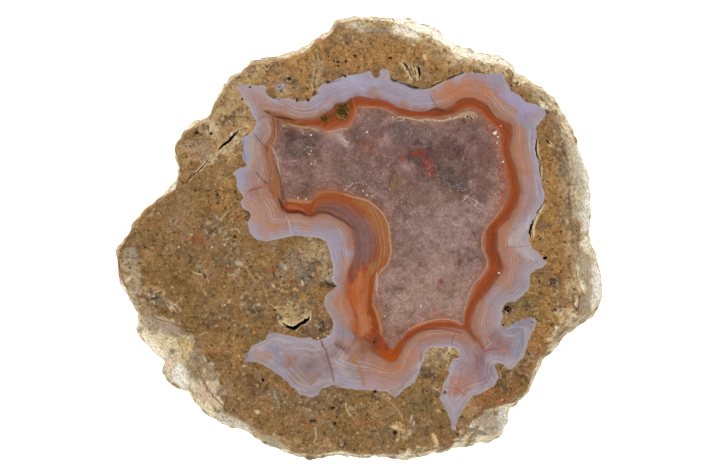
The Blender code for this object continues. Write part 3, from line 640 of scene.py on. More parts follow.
# The face's triangles: their size in the bands and elsewhere, how far the finer ones reach past the
# bands in millimetres, the steps along a line, and how far the grid stays off lines, pits and marks.
FINE_GRID = 0.00027
COARSE_GRID = 0.00040
BAND_MARGIN = 0.8
ALONG_LINES = 0.0004
KEEP_OFF = 0.00018
PIT_CLEARANCE, MARK_CLEARANCE = 1.25, 1.1
TOUCHING = 0.0000001
BEND_STEPS = 12


def curve_through(points_px, spacing, closed=False):
    """Places along a line through the points, rounded between them, evenly spaced."""
    points = to_metres(points_px) + over_origin
    if closed:
        ends = np.vstack([points[-1:], points, points[:2]])
    else:
        ends = np.vstack([2 * points[:1] - points[1:2], points, 2 * points[-1:] - points[-2:-1]])
    share = np.linspace(0, 1, BEND_STEPS, endpoint=False)[:, None]
    pieces = []
    for a, b, c, d in zip(ends, ends[1:], ends[2:], ends[3:]):
        pieces.append(0.5 * (2 * b + (c - a) * share + (2 * a - 5 * b + 4 * c - d) * share ** 2
                             + (3 * b - a - 3 * c + d) * share ** 3))
    line = np.vstack(pieces + [points[:1] if closed else points[-1:]])
    along = np.append(0, np.cumsum(np.linalg.norm(np.diff(line, axis=0), axis=1)))
    steps = max(round(along[-1] / spacing), 2)
    stations = np.linspace(0, along[-1], steps + 1)
    return np.stack([np.interp(stations, along, line[:, 0]), np.interp(stations, along, line[:, 1])], 1)


def nearest(lines):
    """A finder of the nearest place on any of the lines."""
    places = np.vstack(lines)
    finder = kdtree.KDTree(len(places))
    for i, (x, y) in enumerate(places.tolist()):
        finder.insert((x, y, 0), i)
    finder.balance()
    return finder


def distances(finder, places):
    return np.array([finder.find((x, y, 0))[2] for x, y in places.tolist()])


# The agate's wall: where the bands meet the jasper.
AGATE_EDGE_PX = [
    (236, 87), (242, 85), (250, 85), (258, 85), (266, 86), (266, 92), (269, 96), (273, 99), (279, 97),
    (284, 98), (291, 98), (296, 101), (308, 100), (313, 97), (317, 94), (319, 88), (323, 84), (330, 83),
    (337, 79), (345, 76), (358, 74), (366, 72), (371, 71), (374, 76), (379, 76), (381, 70), (388, 70),
    (391, 78), (397, 81), (402, 82), (409, 85), (415, 88), (421, 89), (427, 89), (433, 87), (440, 83),
    (447, 80), (454, 77), (461, 74), (468, 73), (478, 73), (488, 74), (497, 73), (503, 74), (505, 79),
    (508, 84), (511, 89), (514, 92), (519, 95), (523, 99), (528, 103), (535, 104), (540, 107), (545, 109),
    (547, 112), (545, 116), (541, 121), (536, 127), (537, 136), (536, 142), (536, 150), (538, 158),
    (539, 165), (540, 175), (542, 185), (544, 193), (544, 200), (541, 207), (537, 214), (533, 222),
    (529, 230), (530, 236), (528, 240), (531, 244), (532, 248), (537, 252), (542, 257), (546, 262),
    (544, 266), (540, 269), (534, 271), (530, 275), (530, 282), (529, 288), (525, 293), (520, 298),
    (515, 302), (509, 302), (504, 305), (502, 311), (503, 318), (501, 323), (504, 327), (509, 327),
    (515, 324), (521, 320), (527, 318), (533, 318), (537, 322), (535, 328), (531, 334), (528, 342),
    (526, 350), (524, 357), (519, 362), (514, 367), (511, 370), (505, 366), (498, 363), (495, 367),
    (497, 372), (498, 379), (493, 386), (485, 391), (472, 397), (468, 402), (464, 408), (460, 415),
    (456, 424), (455, 430), (452, 428), (450, 420), (447, 412), (443, 404), (440, 396), (442, 390),
    (443, 384), (446, 379), (449, 374), (449, 368), (452, 362), (455, 358), (459, 358), (461, 354),
    (458, 350), (452, 348), (446, 347), (440, 348), (434, 347), (428, 349), (424, 354), (424, 361),
    (420, 366), (420, 373), (416, 379), (412, 384), (406, 388), (401, 392), (396, 397), (390, 394),
    (385, 391), (377, 391), (370, 390), (360, 390), (350, 389), (343, 388), (337, 386), (332, 385),
    (328, 387), (322, 389), (319, 394), (314, 396), (307, 396), (300, 394), (296, 390), (291, 386),
    (287, 381), (282, 377), (276, 373), (270, 369), (263, 365), (257, 362), (250, 362), (244, 361),
    (249, 354), (251, 347), (258, 343), (265, 340), (268, 335), (276, 333), (285, 335), (293, 337),
    (302, 338), (310, 337), (314, 340), (320, 339), (326, 337), (331, 334), (332, 328), (333, 322),
    (329, 314), (325, 307), (325, 299), (328, 293), (333, 290), (336, 286), (332, 280), (333, 272),
    (333, 265), (331, 258), (329, 250), (326, 243), (320, 238), (310, 237), (300, 236), (290, 236),
    (280, 239), (270, 241), (262, 241), (257, 240), (252, 235), (249, 230), (248, 222), (251, 216),
    (249, 212), (244, 209), (241, 203), (243, 197), (240, 192), (237, 187), (237, 180), (233, 174),
    (235, 171), (240, 168), (247, 165), (244, 162), (243, 155), (243, 148), (241, 142), (242, 137),
    (246, 136), (252, 131), (256, 124), (253, 116), (251, 111), (248, 105), (243, 98), (240, 92),
]
# The outer edge of the orange-red band.
RED_BAND_EDGE_PX = [
    (268, 112), (275, 113), (283, 116), (292, 119), (302, 120), (312, 120), (318, 118), (325, 113),
    (332, 108), (337, 103), (345, 102), (352, 98), (358, 96), (366, 97), (374, 99), (383, 100), (390, 103),
    (397, 107), (405, 109), (413, 110), (420, 110), (430, 109), (437, 110), (445, 109), (452, 106),
    (458, 101), (465, 98), (472, 98), (478, 100), (484, 103), (489, 107), (492, 111), (495, 116),
    (500, 120), (506, 123), (511, 125), (512, 132), (511, 140), (510, 148), (511, 156), (514, 164),
    (517, 172), (518, 181), (520, 190), (519, 198), (516, 206), (513, 213), (509, 219), (503, 224),
    (498, 230), (497, 240), (497, 250), (500, 258), (503, 266), (501, 272), (497, 279), (492, 286),
    (487, 293), (482, 298), (477, 304), (474, 311), (471, 318), (470, 325), (472, 332), (476, 338),
    (475, 340), (470, 334), (465, 330), (458, 328), (450, 327), (442, 327), (434, 328), (426, 330),
    (418, 333), (412, 337), (407, 342), (403, 348), (400, 354), (397, 359), (392, 362), (386, 360),
    (380, 356), (372, 350), (362, 342), (353, 334), (352, 320), (348, 310), (345, 298), (345, 285),
    (348, 272), (353, 262), (355, 250), (354, 238), (351, 228), (345, 220), (337, 215), (328, 213),
    (318, 214), (311, 217), (306, 215), (300, 212), (290, 213), (283, 211), (278, 203), (272, 195),
    (270, 185), (271, 177), (270, 167), (269, 160), (267, 152), (266, 146), (271, 138), (274, 130),
    (274, 123), (272, 117),
]
# The edge of the quartz.
QUARTZ_EDGE_PX = [
    (275, 118), (281, 121), (288, 124), (295, 126), (303, 127), (312, 126), (319, 128), (326, 131),
    (335, 130), (343, 127), (350, 124), (354, 119), (356, 112), (360, 108), (368, 107), (378, 107),
    (387, 108), (394, 111), (400, 115), (408, 117), (420, 117), (432, 118), (443, 117), (452, 115),
    (460, 112), (466, 109), (473, 109), (479, 112), (484, 117), (489, 121), (494, 125), (498, 130),
    (500, 138), (501, 148), (503, 158), (505, 168), (507, 178), (508, 188), (507, 197), (503, 206),
    (498, 214), (492, 220), (488, 226), (485, 234), (484, 243), (485, 252), (488, 260), (487, 268),
    (483, 275), (478, 281), (474, 288), (471, 296), (468, 303), (465, 310), (464, 318), (463, 325),
    (458, 322), (450, 320), (440, 320), (430, 321), (420, 324), (412, 328), (406, 333), (401, 339),
    (396, 345), (391, 349), (387, 345), (384, 338), (381, 330), (379, 322), (376, 314), (373, 306),
    (373, 298), (375, 290), (376, 282), (379, 274), (383, 269), (387, 263), (389, 256), (390, 248),
    (390, 240), (389, 234), (387, 225), (384, 217), (379, 210), (373, 205), (366, 201), (358, 198),
    (350, 195), (342, 192), (332, 190), (322, 191), (315, 195), (311, 200), (305, 201), (297, 202),
    (288, 201), (281, 199), (280, 190), (280, 180), (279, 172), (277, 166), (274, 157), (271, 147),
    (276, 138), (279, 130), (277, 122),
]
# The dark core of the tongue that the orange-red band makes.
TONGUE_CORE_PX = [
    (318, 207), (330, 204), (342, 206), (352, 210), (362, 217), (370, 226), (375, 237), (375, 248),
    (372, 256), (367, 262), (361, 265), (356, 262), (356, 255), (355, 242), (351, 230), (345, 221),
    (336, 215), (326, 212),
]
MILLIMETRE = 0.001
FAR_OFF = 20.0
LOOP_SPACING = 0.00005


def inside(loop, places):
    """Which of the places lie inside the closed loop."""
    x, y = places.T
    order = np.argsort(y)
    levels = y[order]
    odd = np.zeros(len(y), bool)
    for (x0, y0), (x1, y1) in zip(loop, np.roll(loop, -1, axis=0)):
        first, after = np.searchsorted(levels, sorted((y0, y1)))
        rows = order[first:after]
        odd[rows] ^= x[rows] < x0 + (y[rows] - y0) * (x1 - x0) / (y1 - y0 + 1e-12)
    return odd


def depth_inside(points_px, places):
    """How far inside the closed line each place lies, in millimetres, and less than 0 outside it."""
    loop = curve_through(points_px, LOOP_SPACING, closed=True)
    far = distances(nearest([loop]), places) / MILLIMETRE
    return np.where(inside(loop, places), far, -far)


def around(places):
    """Each place's angle round the middle of the face, and its distance from there."""
    x, y = (places - over_origin).T
    return np.arctan2(y, x), np.hypot(x, y)


def flat_noise(places, breadth, origin):
    """The noise at places on a level plane, as one column."""
    return noise_at(np.column_stack([places, np.zeros(len(places))]), breadth, origin)[:, None]


def sideways(line):
    """The direction straight across the line, at each of its places."""
    ahead = np.gradient(line, axis=0)
    return np.stack([-ahead[:, 1], ahead[:, 0]], 1) / np.linalg.norm(ahead, axis=1)[:, None]


def ring_of(sides):
    """The angles of a ring, and its places at a radius of 1."""
    turns = np.linspace(0, math.tau, sides + 1)[:-1]
    return turns, np.stack([np.cos(turns), np.sin(turns)], 1)


sawn_edge = np.array([v.co for v in rind.data.vertices if v.co.z > HEIGHT - A_HAIR / 2])[:, :2]
sawn_edge = sawn_edge[np.argsort(around(sawn_edge)[0])]
edge_angle, edge_radius = around(sawn_edge)
lines, depths = [], []


def lay(line, depth=0.0):
    """Lays a line into the face, at a depth below it that may vary along the line."""
    lines.append(line)
    depths.append(np.zeros(len(line)) + depth)


for width, depth, course in OPEN_CRACKS:
    middle = curve_through(course, ALONG_LINES)
    across = sideways(middle)
    open_share = np.sin(math.pi * np.linspace(0, 1, len(middle)))
    half = width / 2 * np.maximum(open_share ** CRACK_TAPER, CRACK_END_WIDTH)[:, None]
    middle = middle + across * (flat_noise(middle, CRACK_BENDS, (0, 0, 0)) * CRACK_STRAYS)
    half = half * (1 + CRACK_VARIES * flat_noise(middle, CRACK_BULGES, (4, 4, 4)) * CRACK_STRAYS)
    lay(middle[1:-1], depth * open_share[1:-1] ** 0.5)
    lay(middle + across * half)
    lay(middle - across * half)
for course in DARK_HAIRLINES + PALE_HAIRLINES + RUST_HAIRLINES:
    lay(curve_through(course, ALONG_LINES))
for colour, width, strength, course in STRANDS:
    middle = curve_through(course, ALONG_LINES)
    across = sideways(middle)
    rims = (0, width / 2 + 0.5) if width < 2 else (max(width / 2 - 0.5, 0.5), width / 2 + 0.5)
    for rim in {side * r for r in rims for side in (-1, 1)}:
        lay(middle + across * rim * PIXEL)


def on_face(places, margin):
    """Which of the places lie on the sawn face, by more than the margin from its edge."""
    angle, reach = around(places)
    return reach < np.interp(angle, edge_angle, edge_radius, period=math.tau) - margin


def face_grid(gap):
    """Places on the sawn face in rows, each as far as the gap from the next."""
    low, high = sawn_edge.min(axis=0), sawn_edge.max(axis=0)
    rows = np.arange(low[1], high[1], gap * math.sqrt(3) / 2)
    columns = np.arange(low[0], high[0], gap)
    grid = np.array([(x + gap / 2 * (i % 2), y) for i, y in enumerate(rows) for x in columns])
    grid = grid[on_face(grid, gap * 0.7)]
    banded = depth_inside(AGATE_EDGE_PX, grid) > -BAND_MARGIN
    banded &= depth_inside(QUARTZ_EDGE_PX, grid) < BAND_MARGIN
    return grid[banded if gap == FINE_GRID else ~banded]


grid = np.vstack([face_grid(COARSE_GRID), face_grid(FINE_GRID)])
ring = ring_of(PIT_SIDES)[1] * (1, PIT_NARROWNESS)
for radius, depth, place in PITS:
    middle = to_metres(place) + over_origin
    grid = grid[np.linalg.norm(grid - middle, axis=1) > radius * PIT_CLEARANCE]
    lay(middle + ring * radius)
    lay(middle + ring * radius * PIT_FLOOR, depth * PIT_FLOOR_DEPTH)
    lay(middle[None], depth)
for course in SCRATCHES:
    lay(curve_through(course, ALONG_LINES))


def wobble(turn, seed):
    """How far a mark's edge lies out at each turn round it, as a share of its radius."""
    return 1 + 0.22 * np.sin(2 * turn + 2.4 * seed) + 0.14 * np.sin(3 * turn + 1.7 * seed)


marks = []
for colour, radius_px, places_px in SMALL_MARKS:
    marks += [(colour, radius_px * PIXEL, to_metres(place) + over_origin) for place in places_px]
turns, ring = ring_of(MARK_SIDES)
for seed, (colour, radius, middle) in enumerate(marks):
    for past_px in MARK_RINGS_PX:
        lay(middle + ring * (radius * wobble(turns, seed) + past_px * PIXEL)[:, None])
    lay(middle[None])
    grid = grid[np.linalg.norm(grid - middle, axis=1) > radius * MARK_CLEARANCE]
kept = [on_face(line, KEEP_OFF) for line in lines]
depths = [depth[keep] for depth, keep in zip(depths, kept)]
lines = [line[keep] for line, keep in zip(lines, kept)]
grid = grid[distances(nearest(lines), grid) > KEEP_OFF]
for width, depth, course in OPEN_CRACKS:
    middle = curve_through(course, ALONG_LINES / 4)
    wide_part = middle[len(middle) // 8:-len(middle) // 8]
    grid = grid[distances(nearest([wide_part]), grid) > width / 2]

places = [sawn_edge, grid, *lines]
depth_of = np.concatenate([np.zeros(len(sawn_edge) + len(grid)), *depths])
starts = np.cumsum([0] + [len(p) for p in places])
edges = [(i, i + 1) for first, after in zip(starts[2:], starts[3:]) for i in range(first, after - 1)]
corners = [Vector(p) for p in np.vstack(places).tolist()]
laid = delaunay_2d_cdt(corners, edges, [list(range(len(sawn_edge)))], 1, TOUCHING)
face_places = np.array([tuple(v) for v in laid[0]])
face_depth = np.array([max((depth_of[i] for i in origins), default=0.0) for origins in laid[3]])
sheet = bpy.data.meshes.new("polished_face")
sheet.from_pydata(np.column_stack([face_places, HEIGHT - face_depth]).tolist(), [], laid[2])
face = bpy.data.objects.new("polished_face", sheet)
bpy.context.scene.collection.objects.link(face)


# The agate filled a leaf-shaped hollow in the jasper from its walls inwards: pale lavender and
# salmon bands, then a band of orange-red, then quartz. The pattern is laid on the face as the
# distance to each of these edges, in millimetres, and as stains where iron or clay tints it.

SHEEN = 0.011
DARKEST = 0.002
# How stains stray: breadth of the curls in metres, and how far they carry, in reaches of the stain.
BROAD_CURLS, FINE_CURLS = (0.0026, 1.1), (0.0009, 0.6)


def linear(colour):
    """A colour as seen on a screen, 0 to 255, as light, less the white light that the polish adds."""
    share = np.array(colour) / 255
    light = np.where(share <= 0.04045, share / 12.92, ((share + 0.055) / 1.055) ** 2.4)
    return np.maximum(light - SHEEN, DARKEST)


def add_value(mesh, name, kind, values):
    attribute = mesh.attributes.new(name, kind, "POINT")
    key = {"FLOAT": "value", "FLOAT_VECTOR": "vector", "FLOAT_COLOR": "color"}[kind]
    attribute.data.foreach_set(key, np.asarray(values, np.float32).ravel())


def wander_at(places):
    """How far each place strays from its own, x and y, in broad and fine curls."""
    broad = [flat_noise(places, BROAD_CURLS[0], (7, 1, level)) for level in (0.5, 6.5)]
    fine = [flat_noise(places, FINE_CURLS[0], (2, 8, level)) for level in (0.5, 6.5)]
    return np.hstack(broad) * BROAD_CURLS[1] + np.hstack(fine) * FINE_CURLS[1]


def laid_over(under, colour, cover):
    """A layer of colour and cover, under one more colour that covers it by these shares."""
    return under * (1 - cover) + np.append(linear(colour), 1.0) * cover


def stained(places, wander, stains):
    """The stains laid over each other: their colour, already thinned by their cover, and the cover."""
    layer = np.zeros((len(places), 4))
    for colour, strength, reach_px, course in stains:
        line = to_metres(course) + over_origin
        reach = reach_px * PIXEL
        strayed = places + wander * reach
        far = np.full(len(places), np.inf)
        for start, end in zip(line, line[1:] if len(line) > 1 else line):
            run = end - start
            share = np.clip((strayed - start) @ run / max(run @ run, 1e-12), 0, 1)
            far = np.minimum(far, np.linalg.norm(strayed - start - share[:, None] * run, axis=1))
        layer = laid_over(layer, colour, (strength * np.exp(-(far / reach) ** 3))[:, None])
    return layer


def covered(places, wander, courses):
    """How fully the courses cover each place."""
    return stained(places, wander, [((255, 255, 255), *row) for row in courses])[:, 3]


OLIVE, TAWNY, SAND = (116, 96, 56), (160, 117, 67), (168, 134, 91)
LAVENDER, BLUE, ROSE, SALMON = (160, 149, 164), (144, 140, 156), (174, 140, 138), (180, 122, 92)
PINK, FLAME = (176, 134, 114), (180, 96, 56)

# Stains in the jasper: colour, strength, reach in pixels, and where. Wide ones come first.
JASPER_STAINS = [
    (SAND, 0.75, 26, [(205, 150), (235, 110), (262, 80)]), (STRAW, 0.6, 16, [(228, 100), (258, 74)]),
    (TAWNY, 0.7, 24, [(300, 75), (380, 50), (470, 62)]),
    (TAWNY, 0.75, 20, [(556, 150), (560, 290), (535, 345)]),
    (SAND, 0.6, 9, [(345, 30), (372, 27), (400, 34), (430, 46), (455, 62), (495, 68)]),
    (CREAM, 0.5, 6, [(350, 23), (390, 24), (420, 36), (445, 52), (470, 63), (502, 68)]),
    ((166, 146, 116), 0.7, 8, [(131, 262), (130, 280), (138, 300), (146, 310)]),
    ((150, 122, 98), 0.8, 6, [(173, 222)]), ((142, 108, 66), 0.4, 9, [(150, 224), (162, 232)]),
    ((162, 120, 66), 0.5, 8, [(230, 180), (226, 206)]), ((168, 132, 84), 0.7, 4, [(150, 288), (162, 294)]),
    ((158, 118, 68), 0.5, 12, [(212, 346), (236, 350)]),
    ((184, 166, 132), 0.6, 6, [(564, 132), (569, 150), (571, 172), (573, 200), (575, 225)]),
    ((158, 140, 112), 0.5, 5, [(555, 118), (560, 145), (564, 170), (567, 205)]),
    (CREAM, 0.3, 7, [(573, 234), (571, 252), (574, 272), (576, 295)]),
    ((150, 110, 68), 0.6, 8, [(558, 244), (561, 258)]),
    (RUST, 0.6, 14, [(528, 352), (508, 388), (478, 402)]), (UMBER, 0.7, 8, [(500, 384)]),
    (GREY, 0.5, 10, [(192, 350), (206, 372), (216, 392)]), (STRAW, 0.75, 17, [(292, 314)]),
    (GREY, 0.5, 20, [(285, 265), (315, 258)]), (STRAW, 0.3, 13, [(318, 250), (322, 268)]),
    (GREY, 0.7, 7, [(133, 252)]), (CREAM, 0.3, 8, [(150, 290), (170, 300)]),
    (SLATE, 0.6, 6, [(155, 298), (162, 302)]), (CREAM, 0.8, 6, [(174, 306)]),
    ((140, 106, 66), 0.4, 7, [(144, 312), (152, 308)]), (RUST, 0.7, 8, [(276, 280), (292, 290)]),
    ((136, 98, 60), 0.6, 7, [(258, 246), (266, 246)]), ((160, 126, 82), 0.4, 8, [(304, 248), (312, 252)]),
    (SLATE, 0.6, 6, [(302, 280), (308, 272)]), (UMBER, 0.75, 5, [(322, 284), (332, 286)]),
    (PLUM, 0.85, 9, [(312, 332), (324, 328)]), ((112, 88, 58), 0.6, 9, [(245, 306), (258, 316)]),
    (PLUM, 0.4, 14, [(206, 310), (218, 318)]), (UMBER, 0.2, 10, [(190, 322), (214, 328)]),
    (GREY, 0.45, 8, [(212, 232), (226, 240)]), (RUST, 0.6, 7, [(190, 235), (200, 240)]),
    (UMBER, 0.4, 6, [(236, 238)]), (GREY, 0.3, 8, [(222, 224), (232, 222)]),
    (CREAM, 0.5, 5, [(216, 132), (208, 124)]), (GREY, 0.5, 9, [(195, 145), (205, 150)]),
    (CREAM, 0.3, 4, [(214, 158), (240, 136), (246, 124)]), ((176, 128, 72), 0.7, 5, [(249, 130)]),
    (BLUE, 0.75, 4.5, [(279, 86)]), ((168, 128, 90), 0.5, 4, [(283, 93)]),
    (CREAM, 0.2, 4, [(284, 78), (292, 82)]), (SLATE, 0.6, 6, [(288, 80)]),
    (RUST, 0.5, 7, [(268, 84), (262, 92)]), (PLUM, 0.4, 8, [(330, 74), (336, 78)]),
    ((152, 122, 90), 0.5, 4, [(424, 68), (428, 78)]), ((174, 136, 92), 0.5, 8, [(355, 45), (362, 40)]),
    (OLIVE, 0.6, 12, [(525, 303), (532, 312)]), ((80, 64, 58), 0.7, 5, [(508, 309)]),
    (PLUM, 0.8, 7, [(552, 280)]), ((132, 100, 76), 0.6, 4, [(556, 308)]),
    (CREAM, 0.6, 8, [(566, 314), (572, 322)]), (STRAW, 0.8, 12, [(434, 362), (446, 358)]),
    (CREAM, 0.6, 5, [(446, 354)]), ((132, 98, 52), 0.6, 4, [(443, 366)]),
    ((96, 74, 54), 0.8, 5, [(424, 373), (430, 376)]), ((148, 108, 64), 0.55, 9, [(272, 378), (282, 388)]),
    (RUST, 0.4, 7, [(236, 372), (246, 376)]), (UMBER, 0.5, 10, [(252, 380), (262, 386)]),
    (GREY, 0.5, 7, [(276, 396), (284, 402)]), (PLUM, 0.4, 9, [(250, 392)]),
    (RUST, 0.35, 10, [(330, 422), (345, 430)]), (OLIVE, 0.5, 10, [(342, 444)]),
    ((124, 94, 62), 0.6, 6, [(412, 412), (425, 402)]), (OLIVE, 0.5, 16, [(420, 400), (432, 412)]),
    (GREY, 0.5, 6, [(414, 426)]), ((192, 156, 106), 0.7, 6, [(397, 427), (406, 434)]),
    (SAND, 0.5, 10, [(300, 445), (330, 447)]), (STRAW, 0.3, 8, [(474, 404), (452, 438)]),
]
for width, depth, course in OPEN_CRACKS:
    JASPER_STAINS.append((CREAM, 0.35, width / PIXEL / 2 + 0.9, course))

# Stains in the lavender and salmon bands.
BAND_STAINS = [
    (LAVENDER, 0.9, 14, [(325, 95), (360, 84), (400, 92), (425, 98)]),
    ((168, 163, 182), 0.8, 7, [(340, 82), (356, 80), (372, 84)]),
    (SALMON, 0.95, 11, [(445, 92), (468, 84), (490, 90)]), (BLUE, 0.6, 8, [(472, 76), (494, 79)]),
    ((163, 150, 177), 0.9, 11, [(508, 96), (524, 108), (536, 112)]),
    (BLUE, 0.7, 6, [(524, 120), (526, 132)]), (PINK, 0.6, 7, [(497, 102), (508, 114)]),
    (SALMON, 0.7, 6, [(517, 130), (521, 150), (524, 175)]),
    ((169, 131, 113), 0.7, 4, [(529, 152), (531, 176)]),
    (LAVENDER, 0.6, 3, [(535, 150), (538, 180), (541, 195)]), (ROSE, 0.5, 7, [(528, 180), (526, 205)]),
    (SALMON, 0.6, 6, [(503, 226), (503, 244)]), (PINK, 0.5, 8, [(512, 250), (512, 270), (504, 285)]),
    ((182, 166, 163), 0.9, 6.5, [(522, 226), (516, 242), (530, 256)]),
    ((152, 140, 142), 0.7, 5, [(526, 282), (514, 296), (502, 300)]),
    (LAVENDER, 0.4, 8, [(494, 298), (490, 315)]), (PINK, 0.5, 9, [(486, 322), (480, 310)]),
    ((138, 136, 148), 0.9, 8, [(518, 332), (520, 350)]),
    ((136, 126, 132), 0.8, 5, [(504, 330), (530, 322)]),
    ((140, 104, 100), 0.7, 7, [(494, 338), (505, 348)]),
    ((138, 101, 108), 0.8, 9, [(484, 352), (482, 368), (490, 382)]),
    ((154, 128, 130), 0.7, 9, [(463, 356), (466, 372)]),
    ((170, 120, 103), 0.85, 8, [(456, 384), (461, 393), (469, 380)]),
    ((168, 114, 94), 0.7, 9, [(428, 338), (444, 334), (462, 336)]),
    ((160, 132, 132), 0.8, 4, [(422, 358), (424, 350), (440, 344), (455, 345), (464, 352)]),
    (SALMON, 0.7, 12, [(410, 352), (400, 372), (380, 376)]),
    ((154, 128, 112), 0.7, 4, [(418, 372), (402, 388), (394, 394)]),
    (ROSE, 0.5, 7, [(396, 384), (370, 386)]), (LAVENDER, 0.8, 6, [(338, 378), (348, 384)]),
    ((174, 160, 158), 0.85, 7, [(340, 362), (346, 372)]),
    ((152, 102, 72), 0.5, 3, [(352, 358), (361, 372), (364, 384)]), ((142, 98, 76), 0.85, 8, [(366, 350)]),
    ((118, 88, 76), 0.6, 4, [(336, 344), (346, 350)]), (BLUE, 0.8, 6, [(340, 330), (348, 336)]),
    ((143, 121, 117), 0.9, 15, [(305, 366), (316, 362)]),
    ((143, 136, 148), 0.8, 7, [(272, 350), (281, 358), (290, 374)]),
    ((166, 132, 110), 0.8, 6, [(258, 355), (264, 354)]),
    ((154, 124, 112), 0.7, 8, [(312, 376), (300, 378)]),
    ((148, 134, 130), 0.6, 4, [(296, 386), (310, 392), (320, 386)]),
    ((154, 116, 98), 0.7, 5, [(290, 358), (290, 364)]),
    (LAVENDER, 0.85, 9, [(336, 236), (340, 250), (338, 262)]),
    (LAVENDER, 0.7, 5, [(252, 237), (290, 232), (318, 232)]), (PINK, 0.9, 13, [(262, 212), (272, 226)]),
    (PINK, 0.7, 8, [(290, 222), (306, 226)]), (OCHRE, 0.35, 5, [(274, 226)]),
    ((156, 112, 92), 0.7, 6, [(256, 192), (262, 196)]), (PINK, 0.6, 9, [(254, 206), (262, 200)]),
    ((156, 152, 172), 0.85, 4, [(245, 140), (245, 158), (240, 172), (239, 186)]),
    ((178, 162, 146), 0.7, 2.5, [(251, 140), (251, 160)]),
    ((178, 154, 140), 0.5, 6, [(254, 148), (255, 160)]), (SALMON, 0.5, 4, [(255, 164), (256, 178)]),
    ((180, 128, 100), 0.8, 8, [(338, 300), (344, 315)]),
    ((158, 136, 124), 0.8, 4, [(329, 296), (328, 308), (336, 322)]),
    ((182, 122, 90), 0.6, 5, [(338, 292), (340, 300)]), (PINK, 0.6, 5, [(345, 262), (342, 280)]),
    (PINK, 0.45, 7, [(252, 98), (266, 104)]), (PINK, 0.4, 6, [(285, 106), (300, 106)]),
]

# Stains in the orange-red band and the tongue that it makes.
RED_STAINS = [
    ((162, 108, 74), 0.8, 6, [(384, 222), (388, 240), (386, 258), (378, 272)]),
    ((168, 92, 60), 0.8, 2.5, [(288, 204), (296, 206), (304, 210)]),
    ((148, 98, 76), 0.8, 5, [(286, 200), (296, 201)]),
    ((166, 94, 58), 0.8, 3, [(318, 197), (330, 193), (346, 195), (362, 202)]),
    ((135, 97, 82), 0.9, 9, [(354, 336), (362, 346)]), ((150, 112, 86), 0.7, 6, [(352, 322)]),
    ((186, 108, 64), 0.9, 4, [(358, 272), (356, 290), (360, 306), (364, 320)]),
    ((160, 84, 54), 0.7, 3, [(350, 290), (352, 306), (354, 322)]),
    ((126, 96, 90), 0.8, 3, [(351, 300), (353, 320), (351, 340)]),
    ((145, 70, 38), 0.9, 5, [(386, 350), (394, 358)]),
    ((158, 106, 70), 0.95, 11, [(372, 212), (385, 232), (384, 256), (374, 274)]),
    ((150, 84, 52), 0.8, 10, [(320, 198), (340, 200), (356, 206)]),
    (FLAME, 0.9, 12, [(358, 288), (360, 306), (362, 322)]),
    ((176, 116, 80), 0.5, 5, [(360, 280), (364, 310), (366, 330)]),
    ((134, 64, 42), 0.8, 5, [(372, 300), (374, 320), (380, 338)]), ((170, 78, 30), 0.8, 7, [(390, 356)]),
    ((118, 67, 46), 0.8, 6, [(374, 342)]), ((124, 62, 40), 0.5, 6, [(491, 232), (491, 256)]),
    ((112, 66, 44), 0.7, 4, [(440, 112), (452, 110)]), ((80, 60, 36), 0.95, 10, [(341, 110)]),
    ((96, 61, 37), 0.95, 6, [(326, 118)]), ((136, 64, 36), 0.6, 4, [(290, 214), (306, 216)]),
    ((172, 88, 54), 0.6, 5, [(290, 206), (300, 208)]),
    ((146, 104, 82), 0.95, 8, [(272, 122), (271, 150), (274, 170), (277, 190), (277, 198)]),
    ((140, 100, 70), 0.6, 4, [(275, 118), (300, 123)]),
]

